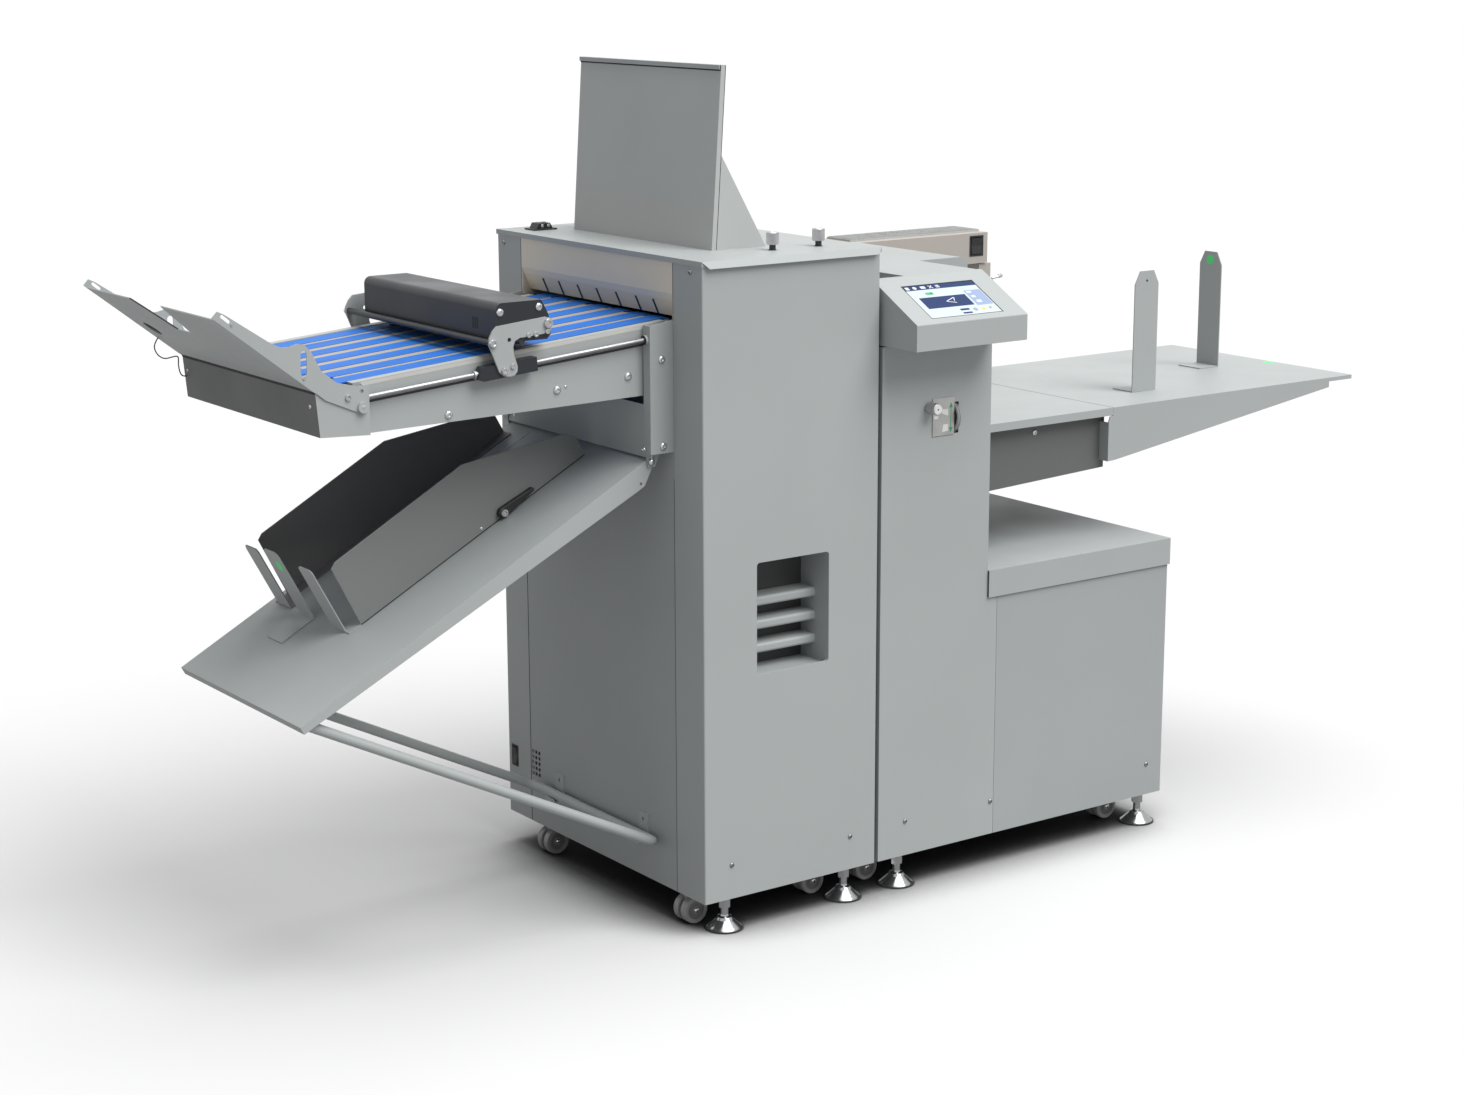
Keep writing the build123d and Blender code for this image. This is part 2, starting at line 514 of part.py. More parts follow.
def sheet_stop():
    """One folded sheet: a sloping stop plate between two winged cheeks that turn on the end box."""
    wing = [(-658, 1149), (-657, 1107), (-673, 1105), (-737, 1133), (-753.5, 1146.5), GATE_FOLD_BOTTOM,
            GATE_FOLD_TOP, (-934.5, 1305.2), (-922.5, 1299.6), (-836, 1241.6), (-818, 1233.4),
            (-803, 1233.6), (-788, 1237), (-775.5, 1235), (-763, 1223), (-743, 1185), (-714, 1162),
            (-675, 1152.5)]
    y0, y1 = 94.0, 96.0
    cheek = prism_xz(wing, y0, y1)
    cheek -= rod_y(*GATE_PIVOT, 6 + FIT, 90, 100)
    cheek -= rod_y(-666, 1142.5, 3.5, 90, 100)
    cheek -= slot_cut((-776.3, 1218), (-777, 1186), 6)
    cheek -= slot_cut((-926, 1296), (-914, 1286), 3)
    fold = math.degrees(math.atan2(GATE_FOLD_TOP[1] - GATE_FOLD_BOTTOM[1],
                                   GATE_FOLD_BOTTOM[0] - GATE_FOLD_TOP[0]))
    a = math.radians(fold)
    length = math.dist(GATE_FOLD_BOTTOM, GATE_FOLD_TOP)
    # local X runs up the stop plate, local Z stands off it towards the belts
    face = Plane(origin=(GATE_FOLD_BOTTOM[0], 0, GATE_FOLD_BOTTOM[1]),
                 x_dir=(-math.cos(a), 0, math.sin(a)), z_dir=(math.sin(a), 0, math.cos(a)))
    sheet = face * block(0, length - 7, -2 * MID_Y + y1 - 1, -y1 + 1, 0, 2)
    notch = [(316, 228), (356, 134), (428, 134), (446, 160), (458, 192), (465, 228)]
    notch_face = make_face(Polyline(*[(s, -y) for y, s in notch], close=True))
    sheet -= face * extrude(Pos(0, 0, -1) * notch_face, 4)
    sheet -= face * Pos(GATE_EYE[0], -GATE_EYE[1], 1) * Cylinder(20.5, 4)
    stud = rod_y(-693.5, 1134, 3, 92, 94)
    return cheek + mirror_y(cheek) + sheet + stud + mirror_y(stud)


def slot_cut(top, bottom, r):
    """A round-ended slot through a cheek, from one centre to the other, in X and Z."""
    dx, dz = bottom[0] - top[0], bottom[1] - top[1]
    length = math.hypot(dx, dz)
    nx, nz = -dz / length * r, dx / length * r
    bar = prism_xz([(top[0] + nx, top[1] + nz), (top[0] - nx, top[1] - nz),
                    (bottom[0] - nx, bottom[1] - nz), (bottom[0] + nx, bottom[1] + nz)], 90, 100)
    return bar + rod_y(*top, r, 90, 100) + rod_y(*bottom, r, 90, 100)


LEAD_ROUTE = [(-806.2, 640, 1186.1), (-815.5, 640, 1174.2), (-813, 641, 1160), (-804, 642, 1149),
              (-793, 642, 1144), (-779, 642, 1146.5), (-766, 641, 1148), (-768, 640, 1132), (-766, 640, 1117),
              (-760.5, 640, 1107.3), (-752.15, 640, 1108)]


# ---------- catch tray ----------
def catch_tray():
    """Sloping pan with tapered side flanges that hang on two pins under the conveyor."""
    pan = tray_block(-20, TRAY_LEN, TRAY_Y0, TRAY_Y1, -SKIN, 0)
    side = tray_prism([(-20, 0), (-24, -8), (-14, -18), (20, -42), (40, -42), (TRAY_LEN, -16), (TRAY_LEN, 0)],
                      TRAY_Y0, TRAY_Y0 + SKIN)
    side -= rod_y(*TRAY_PIVOT, 4 + FIT, 110, 130)
    side -= tray_prism([(21.5, -33), (25, -36.5), (28.5, -33), (25, -29.5)], 110, 130)
    toe = tray_block(TRAY_LEN - SKIN, TRAY_LEN, TRAY_Y0, TRAY_Y1, -16, 0)
    pan -= tray_block(4, 78, 529, 532, -3, 1)
    x, z = on_slope(TRAY, -BAIL_U, BAIL_H)
    bail_pin = rod_y(x, z, 4, TRAY_Y0, BAIL_Y + 12)
    return pan + side + mirror_y(side) + toe + bail_pin + mirror_y(bail_pin)


GUIDE_OUTLINE = [(591, 0), (588, 130), (575, 137), (261, 142), (40, 63), (23, 45), (22, 0)]


def tray_guide(y0, inward):
    """Tall side guide with a foot flange and an upright finger at its lower end."""
    lift = GAP
    y_wall = sorted((y0, y0 + inward * SKIN))
    wall = tray_prism([(u, max(h, lift)) for u, h in GUIDE_OUTLINE], *y_wall)
    foot_y = sorted((y0, y0 + inward * 30))
    foot = tray_block(22, 620, *foot_y, lift, lift + SKIN)
    finger_y = sorted((y0 + inward * 15, y0 + inward * 70)) if inward > 0 else (537, 593)
    bridge = tray_block(600, 620, min(foot_y[0], finger_y[0]), max(foot_y[1], finger_y[1]), lift, lift + SKIN)
    finger = tray_block(618, 620, *finger_y, lift, 145)
    tips = finger.edges().filter_by(lambda e: abs(e.length - SKIN) < 0.01).sort_by(Axis.Z)[-2:]
    return wall + foot + bridge + fillet(tips, 10)


NEAR_GUIDE_Y = 296.0
FAR_GUIDE_Y = 605.0
LEVER_U, LEVER_H = 235.0, 12.0


def tray_guide_near():
    x, z = on_slope(TRAY, -LEVER_U, LEVER_H)
    guide = tray_guide(NEAR_GUIDE_Y, 1)
    bolt = rod_y(x, z, 4, NEAR_GUIDE_Y - 12, NEAR_GUIDE_Y) + rod_y(x, z, 7, NEAR_GUIDE_Y - 15, NEAR_GUIDE_Y - 12)
    return guide + bolt


def clamp_lever():
    y0, y1 = NEAR_GUIDE_Y - 11.7, NEAR_GUIDE_Y - GAP
    arm = tray_prism([(LEVER_U, LEVER_H - 7), (LEVER_U, LEVER_H + 7), (160, 20), (156, 16), (156, 10), (160, 9)],
                     y0, y1)
    x, z = on_slope(TRAY, -LEVER_U, LEVER_H)
    return arm + rod_y(x, z, 9, y0, y1) - rod_y(x, z, 4 + FIT, y0 - 1, y1 + 1)


def tray_end_stop():
    base = tray_block(618, 700, 440, 502, GAP, GAP + SKIN)
    finger = tray_block(618, 620, 440, 502, GAP, 157)
    tips = finger.edges().filter_by(lambda e: abs(e.length - SKIN) < 0.01).sort_by(Axis.Z)[-2:]
    return base + fillet(tips, 14)


def tray_bail():
    """U-shaped tube from the tray's lower end to the two hooks on the tower."""
    px, pz = on_slope(TRAY, -BAIL_U, BAIL_H)
    hx, hz = BAIL_HOOK
    reach = math.hypot(hx - px, hz - pz)
    start_x = px + (hx - px) * BAIL_START / reach
    start_z = pz + (hz - pz) * BAIL_START / reach
    far_y = 2 * MID_Y - BAIL_Y
    corners = [(start_x, BAIL_Y, start_z), (hx, BAIL_Y, hz), (hx, far_y, hz), (start_x, far_y, start_z)]
    path = FilletPolyline(*corners, radius=BAIL_BEND)
    start = Plane(origin=corners[0], z_dir=(hx - px, 0, hz - pz))
    tube = sweep(start * (Circle(BAIL_R) - Circle(BAIL_R - 1.5)), path=path)
    for y in (BAIL_Y, far_y):
        tube += rod_y(px, pz, BAIL_R + 0.7, y - BAIL_R - 1.5, y + BAIL_R + 1.5)
        tube -= rod_y(px, pz, 4 + FIT, y - 15, y + 15)
    return tube


# ---------- pile feeder ----------
LIFT_ROD_X, LIFT_ROD_Y = 655.0, (207.0, 537.0)
LIFT_SLOT_Z = (652.0, 1012.0)


def feeder_cabinet():
    """Lower cabinet and column of flat sheet walls, with the lift's guide rods inside."""
    x0, x1 = FEEDER_X0, FEEDER_X1
    z0, deck = CABINET_BOTTOM, DECK_TOP - SKIN
    t = SKIN
    back = DEPTH - t
    under_top = COLUMN_TOP - t
    floor = block(x0, x1, t, DEPTH, z0, z0 + t)
    for x in FOOT_X[2:]:
        floor -= rod_z(x, FOOT_Y, 8 + FIT, z0 - 1, z0 + t + 1)
    column_side = block(COLUMN_X1 - t, COLUMN_X1, t, back, deck, under_top)
    for y in LIFT_ROD_Y:
        column_side -= block(COLUMN_X1 - t, COLUMN_X1, y - 12, y + 12, *LIFT_SLOT_Z)
    walls = [
        floor,
        column_side,
        block(x0, x0 + t, t, DEPTH, z0 + t, under_top),
        block(x1 - t, x1, t, DEPTH, z0 + t, deck),
        block(FRONT_X1 + 0.8, x1, 0, t, z0, deck),
        block(x0 + t, x1 - t, back, DEPTH, z0 + t, deck),
        block(x0 + t, COLUMN_X1, back, DEPTH, deck, under_top),
        block(x0, COLUMN_X1, t, DEPTH, under_top, COLUMN_TOP),
    ]
    rods = [rod_z(LIFT_ROD_X, y, 10, z0 + t, under_top) for y in LIFT_ROD_Y]
    return Compound([*walls, *rods])


FRONT_X1 = 743.2
WHEEL_X, WHEEL_Y, WHEEL_Z, WHEEL_R = 625.0, 21.0, 974.0, 33.0
ADJUSTER_KNOB = (552.0, 1001.0)


def feeder_front_panel():
    z_low = 586.0
    panel = prism_xz([(FEEDER_X0, CABINET_BOTTOM), (FRONT_X1, CABINET_BOTTOM), (FRONT_X1, z_low),
                      (COLUMN_X1, z_low), (COLUMN_X1, COLUMN_TOP), (FEEDER_X0, COLUMN_TOP)], 0, SKIN)
    panel -= block(WHEEL_X - 6, WHEEL_X + 6, -1, 3, WHEEL_Z - 32, WHEEL_Z + 32)
    return panel - rod_y(*ADJUSTER_KNOB, 4 + FIT, -1, 3)


def feeder_deck_cover():
    over = 5.2
    lid = block(COLUMN_X1, FEEDER_X1 + over, -over, DEPTH + over, 586.2, DECK_TOP)
    lid = fillet(lid.edges().filter_by(Axis.Z).sort_by(Axis.X)[-2:], 4)
    return lid - block(COLUMN_X1, FEEDER_X1 + over - SKIN, SKIN - over, DEPTH + over - SKIN, 586.2, DECK_TOP - SKIN)


def feed_head_cover():
    """Stepped cover on the column and the feed head's cover that hangs over the pile."""
    t = SKIN
    low, step = 1185.0, 528.0
    y0, y1 = 48.0, 700.0
    outer = prism_xz([(FEEDER_X0, COLUMN_TOP), (FEEDER_X0, low), (step, low), (step, HEAD_TOP),
                      (COLUMN_X1, HEAD_TOP), (COLUMN_X1, COLUMN_TOP)], y0, y1)
    inner = prism_xz([(FEEDER_X0 + t, COLUMN_TOP), (FEEDER_X0 + t, low - t), (step + t, low - t),
                      (step + t, HEAD_TOP - t), (COLUMN_X1 - t, HEAD_TOP - t), (COLUMN_X1 - t, COLUMN_TOP)],
                     y0 + t, y1 - t)
    rear = outer - inner - block(FEEDER_X0 - 1, COLUMN_X1 + 1, *SHEET_SLOT)
    hood = block(COLUMN_X1, 850, 235, 600, 1075, HEAD_TOP)
    hood = fillet(hood.edges().filter_by(Axis.Y).sort_by(lambda e: -e.center().X - e.center().Z)[:1], 22)
    hood -= block(COLUMN_X1 + t, 850 - t, 235 + t, 600 - t, 1075, HEAD_TOP - 22)
    hood -= block(COLUMN_X1 + t, 828, 235 + t, 600 - t, 1075, HEAD_TOP - t)
    hood -= block(COLUMN_X1 - 1, COLUMN_X1 + t, *SHEET_SLOT)
    hood -= rod_y(*DRUM_CENTRE, 7 + FIT, 230, 240) + rod_y(*DRUM_CENTRE, 7 + FIT, 595, 605)
    return Compound([rear, hood])


def suction_drum():
    x, z = DRUM_CENTRE
    drum = rod_y(x, z, DRUM_R, 250, 585) - rod_y(x, z, DRUM_R - 4, 255, 580)
    for y in range(275, 580, 35):
        for turn in range(0, 360, 45):
            port = Pos(x, y, z) * Rot(0, turn, 0) * rod_x(0, 0, 4, DRUM_R - 6, DRUM_R + 2)
            drum -= port
    return drum + rod_y(x, z, 7, 235.5, 599.5)


SCREEN_CENTRE = (574.0, -41.5, 1222.0)
SCREEN_SIZE = (184.0, 112.0)


def console_slope():
    a = math.atan2(1263 - 1188, 35 + 105)
    z_mid = 1188 + (SCREEN_CENTRE[1] + 105) * math.tan(a)
    return Plane(origin=(SCREEN_CENTRE[0], SCREEN_CENTRE[1], z_mid), x_dir=(1, 0, 0),
                 z_dir=(0, -math.sin(a), math.cos(a)))


def console_housing():
    outer = prism_yz([(-105, 1136), (-105, 1188), (35, 1263), (46, 1263), (46, 1136)], FEEDER_X0, COLUMN_X1)
    front_bends = outer.edges().filter_by(Axis.X).filter_by(lambda e: e.center().Y < 40 and e.center().Z > 1140)
    outer = fillet(front_bends, 3)
    inner = prism_yz([(-102, 1139), (-102, 1186), (36, 1260), (43, 1260), (43, 1139)], FEEDER_X0 + 3, COLUMN_X1 - 3)
    slope = console_slope()
    window = slope * block(-SCREEN_SIZE[0] / 2, SCREEN_SIZE[0] / 2, -SCREEN_SIZE[1] / 2, SCREEN_SIZE[1] / 2, -8, 3)
    riser = block(FEEDER_X0 + 20, COLUMN_X1 - 20, 4, 44, COLUMN_TOP, 1136)
    return outer - inner - window + riser


def touch_screen():
    slope = console_slope()
    w, h = SCREEN_SIZE
    glass = slope * block(-w / 2, w / 2, -h / 2, h / 2, -4.5, -0.5)
    rim = slope * block(-w / 2 - 8, w / 2 + 8, -h / 2 - 8, h / 2 + 8, -16, -4.5)
    return glass + rim


def blower_box():
    """Long air box on a post behind the pile, with a translucent ribbed strip on top."""
    x0, x1 = COLUMN_X1, 1225.0
    box = block(x0, x1, 603, 720, 1188, HEAD_TOP - 4)
    box -= block(x0 + 2, x1 - 2, 605, 718, 1190, HEAD_TOP - 6)
    box -= block(1174.5, 1208.5, 602, 606, 1208.5, 1248.5)
    strip = block(846, x1 - 2, 632, 716, HEAD_TOP - 4, HEAD_TOP)
    strip -= [block(x, x + 6, 640, 708, HEAD_TOP - 2, HEAD_TOP + 1) for x in range(860, 1210, 24)]
    post = block(1205, 1237, 668, 715, DECK_TOP, 1188) - block(1207, 1235, 670, 713, DECK_TOP, 1186)
    arm = block(1205, 1240, 608, 668, 1150, 1186) - block(1207, 1238, 610, 668, 1150, 1184)
    return Compound([box, strip, post + arm])


def rocker(along, centre, half_width, half_height, depth):
    """A rocker switch cap with a shallow V face; along is the axis that it rocks about."""
    v = [(-depth, -half_height), (-depth + 2, 0), (-depth, half_height), (3, half_height - 4), (3, 4 - half_height)]
    shape = prism_xz(v, -half_width, half_width)
    turned = shape if along == "Y" else Rot(0, 0, 90) * shape
    return Pos(*centre) * turned


def tower_switch():
    return rocker("Y", (3, 713.5, 198), 9.0, 18.5, 6)


def blower_switch():
    return rocker("X", (1191.5, 606, 1228.5), 15.5, 18.5, 6)


def adjuster_plate():
    """Scale plate on the column, with an ear for its clamp knob, and the thumbwheel's two bearing ears."""
    plate = block(561.5, 617.5, -2.5, 0, 941, 1017.5)
    plate += rod_y(*ADJUSTER_KNOB, 9.5, -2.5, 0) + block(552, 562, -2.5, 0, 991.5, 1010.5)
    plate -= rod_y(*ADJUSTER_KNOB, 4 + FIT, -4, 1)
    ears = []
    for x in (WHEEL_X - 15, WHEEL_X + 12):
        ear = block(x, x + 3, SKIN, WHEEL_Y + 12, WHEEL_Z - 12, WHEEL_Z + 12)
        ears.append(ear - rod_x(WHEEL_Y, WHEEL_Z, 4 + FIT, x - 1, x + 4))
    return Compound([plate, *ears])


def adjuster_knob():
    """Knurled clamp knob on a stud, kept by a washer behind the column's sheet."""
    knob = rod_y(*ADJUSTER_KNOB, 11, -30, -2.5 - GAP)
    knob = chamfer(knob.edges().sort_by(Axis.Y)[0], 1)
    return knob + rod_y(*ADJUSTER_KNOB, 4, -4, 6) + rod_y(*ADJUSTER_KNOB, 6.5, SKIN + GAP, 6)


def adjuster_wheel():
    wheel = rod_x(WHEEL_Y, WHEEL_Z, WHEEL_R, WHEEL_X - 4, WHEEL_X + 4)
    wheel = chamfer(wheel.edges().filter_by(GeomType.CIRCLE), 1)
    return wheel + rod_x(WHEEL_Y, WHEEL_Z, 4, WHEEL_X - 16, WHEEL_X + 16)


def vacuum_pump():
    z0 = CABINET_BOTTOM + SKIN
    base = block(860, 1120, 250, 470, z0, z0 + 12)
    tank = rod_x(360, z0 + 112, 90, 880, 1020)
    motor = rod_x(360, z0 + 112, 62, 1020, 1110)
    cradle = [block(x, x + 12, 290, 430, z0 + 12, z0 + 60) for x in (900, 990)]
    outlet = rod_z(930, 360, 16, z0 + 195, z0 + 240)
    return base + tank + motor + cradle + outlet


# ---------- pile table ----------
def pile_table():
    t = 2.5
    top = TABLE_TOP
    table = block(TABLE_X0, TABLE_JOIN - 0.4, TABLE_Y0, TABLE_Y1, top - 17, top)
    table -= block(TABLE_X0, TABLE_JOIN - 0.4, TABLE_Y0 + t, TABLE_Y1 - t, top - 17, top - t)
    box_x1 = TABLE_JOIN - 0.4
    box_y0, box_y1 = 108.0, 2 * MID_Y - 108.0
    table += block(TABLE_X0, box_x1, box_y0, box_y1, 798, top - t)
    table -= block(TABLE_X0 + 2, box_x1 - 2, box_y0 + 2, box_y1 - 2, 800, top - t)
    skirt = prism_xz([(TABLE_X0, 776.8), (box_x1, 796), (box_x1, 800), (TABLE_X0, 800)], box_y0, box_y0 + 2)
    table += skirt + mirror_y(skirt)
    for y in LIFT_ROD_Y:
        arm = block(LIFT_ROD_X - 20, TABLE_X0, y - 10, y + 10, 800, 900)
        arm += rod_z(LIFT_ROD_X, y, 20, 800, 900)
        table += arm - rod_z(LIFT_ROD_X, y, 10 + FIT, 799, 901)

    wing_x0 = 1124.0
    web = [(wing_x0, 813), (1148, 814.5), (1815, 908), (1815, 921), (TABLE_X1, 921), (TABLE_X1, top),
           (TABLE_JOIN, top), (TABLE_JOIN, 912), (1128, 911), (wing_x0, 899)]
    wing = prism_xz(web, TABLE_Y0, TABLE_Y1)
    inner = [(wing_x0 + t, 800), (1148, 800), (1815, 880), (TABLE_X1 - t, 900), (TABLE_X1 - t, top - t),
             (TABLE_JOIN + t, top - t), (TABLE_JOIN, 911), (1128, 911), (wing_x0 + t, 899)]
    wing -= prism_xz(inner, TABLE_Y0 + t, TABLE_Y1 - t)
    wing -= block(wing_x0 - 1, TABLE_JOIN, TABLE_Y0 + t, TABLE_Y1 - t, 898, 913)
    wing -= block(wing_x0 - 1, box_x1 + 0.2, box_y0 - 0.1, box_y1 + 0.1, 790, top)
    return Compound([table, wing])


def guide_blade(width, height, across):
    """Upright blade with a clipped head, standing on a foot flange."""
    half = width / 2
    outline = [(-half, 0), (half, 0), (half, height - 29), (half - 15, height), (15 - half, height),
               (-half, height - 29)]
    blade = prism_xz(outline, 0, 2.5)
    blade -= rod_y(0, height - 22, 3, -1, 4)
    foot = block(-half, half, 2.5, 62, 0, 2.2)
    return Rot(0, 0, across) * (blade + foot)


def pile_side_guide():
    return Pos(1340.5, 197.5, TABLE_TOP + GAP) * guide_blade(71, 269, 0)


def pile_tail_stop():
    return Pos(1727.2, 380.5, TABLE_TOP + GAP) * guide_blade(69, 269, 90)


def sensor_lead():
    """Thin lead clipped between the sheet stop's sensor and the end box."""
    points = [Vector(*p) for p in LEAD_ROUTE]
    radii = []
    for a, b, c in zip(points, points[1:], points[2:]):
        turn = math.radians((b - a).get_angle(c - b))
        radii.append(0.45 * min((b - a).length, (c - b).length) / math.tan(turn / 2))
    path = FilletPolyline(*points, radius=radii)
    return sweep(Plane(origin=points[0], z_dir=points[1] - points[0]) * Circle(1.2), path=path)


# ---------- export ----------
NODES = {
    "tower_frame": tower_frame,
    "tower_front_cover": tower_front_cover,
    "tower_rear_cover": tower_rear_cover,
    "tower_top_cover": tower_top_cover,
    "exit_hood": exit_hood,
    "tool_rack": tool_rack,
    "sheet_guide_plate": sheet_guide_plate,
    "levelling_feet": levelling_feet,
    "castor_forks": castor_forks,
    "fold_roller_upper": lambda: fold_roller(1),
    "fold_roller_lower": lambda: fold_roller(-1),
    "fold_knife": fold_knife,
    "crease_blade": crease_blade,
    "drive_motor": drive_motor,
    "side_brackets": side_brackets,
    "conveyor_rails": conveyor_rails,
    "belt_bed": belt_bed,
    "conveyor_belts": conveyor_belts,
    "conveyor_drive_roller": lambda: conveyor_roller(HEAD_S, FRAME_Y0 - 4, 6),
    "conveyor_tail_roller": lambda: conveyor_roller(TAIL_S, FRAME_Y0 + 0.5, 6),
    "conveyor_end_box": conveyor_end_box,
    "slide_rods": slide_rods,
    "press_carriage": press_carriage,
    "press_housing": press_housing,
    "press_roller": press_roller,
    "sheet_stop": sheet_stop,
    "sensor_lead": sensor_lead,
    "catch_tray": catch_tray,
    "tray_guide_near": tray_guide_near,
    "tray_guide_far": lambda: tray_guide(FAR_GUIDE_Y, -1),
    "clamp_lever": clamp_lever,
    "tray_end_stop": tray_end_stop,
    "tray_bail": tray_bail,
    "cover_knob_left": lambda: cover_knob(*KNOB_PLACES[0]),
    "cover_knob_right": lambda: cover_knob(*KNOB_PLACES[1]),
    "feeder_cabinet": feeder_cabinet,
    "feeder_front_panel": feeder_front_panel,
    "feeder_deck_cover": feeder_deck_cover,
    "feed_head_cover": feed_head_cover,
    "suction_drum": suction_drum,
    "console_housing": console_housing,
    "touch_screen": touch_screen,
    "blower_box": blower_box,
    "tower_switch": tower_switch,
    "blower_switch": blower_switch,
    "adjuster_plate": adjuster_plate,
    "adjuster_knob": adjuster_knob,
    "adjuster_wheel": adjuster_wheel,
    "vacuum_pump": vacuum_pump,
    "pile_table": pile_table,
    "pile_side_guide": pile_side_guide,
    "pile_tail_stop": pile_tail_stop,
}

os.makedirs("parts", exist_ok=True)
for name, make in NODES.items():
    export_step(Pos(*[-c for c in ORIGIN]) * make(), f"parts/{name}.step")
UNITS = {"tower_left": 0, "tower_right": 1, "feeder_left": 2, "feeder_right": 3}
for unit, column in UNITS.items():
    for row, end in enumerate(("front", "rear")):
        wheels = castor_wheels(CASTOR_X[column], CASTOR_Y[row])
        export_step(Pos(*[-c for c in ORIGIN]) * wheels, f"parts/castor_{unit}_{end}.step")
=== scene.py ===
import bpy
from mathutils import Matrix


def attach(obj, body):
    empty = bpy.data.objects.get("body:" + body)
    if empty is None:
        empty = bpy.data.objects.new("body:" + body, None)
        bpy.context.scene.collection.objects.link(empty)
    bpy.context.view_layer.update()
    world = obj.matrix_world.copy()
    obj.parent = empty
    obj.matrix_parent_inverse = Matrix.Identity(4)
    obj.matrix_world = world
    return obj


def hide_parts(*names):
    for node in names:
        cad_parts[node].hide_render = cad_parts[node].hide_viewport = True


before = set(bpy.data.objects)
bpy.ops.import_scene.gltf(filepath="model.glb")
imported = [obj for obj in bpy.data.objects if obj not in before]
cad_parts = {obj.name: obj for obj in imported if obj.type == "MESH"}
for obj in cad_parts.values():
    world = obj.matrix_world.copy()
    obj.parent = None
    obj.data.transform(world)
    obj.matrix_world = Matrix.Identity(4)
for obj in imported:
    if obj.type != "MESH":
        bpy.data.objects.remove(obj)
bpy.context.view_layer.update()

import math

import bmesh
import bpy
from mathutils import Matrix, Vector

# Looks of the creasing and folding machine. Places are written in millimetres from the tower's
# left face (x), its front face (y) and the floor (z), and turned into the frame's metres.
FRAME_ORIGIN = Vector((63.5, 25.0, 0.0))
MM = 0.001
FRONT, LEFT, RIGHT, BACK, TOP = (0, -1, 0), (-1, 0, 0), (1, 0, 0), (0, 1, 0), (0, 0, 1)

CABINET_DEPTH = 740
CABINET_FOOT = 68.2
CABINET_END = 1234.2
TOWER_TOP = 1331.7
TABLE_TOP = 930
MID_Y = 372.0
BELT_MIDDLES = [MID_Y + d for d in (-200, -140, -70, 0, 70, 140, 200)]
COVER_KNOBS = {"left": (223, 81), "right": (336, 83)}


def place(x, y, z):
    return (Vector((x, y, z)) - FRAME_ORIGIN) * MM


def sloped(origin, degrees):
    """Origin, along and up of a slope that rises towards +x."""
    a = math.radians(degrees)
    along = Vector((math.cos(a), 0, math.sin(a)))
    up = Vector((-math.sin(a), 0, math.cos(a)))
    return Vector(origin), along, up


def on_slope(slope, s, y, n):
    """The point s along a slope and n above it, at y."""
    origin, along, up = slope
    return Vector((0, y, 0)) + origin + along * s + up * n


CONVEYOR = sloped((-57.0, 0, 1204.0), 4.8)
TRAY = sloped((-56.0, 0, 941.0), 28.16)


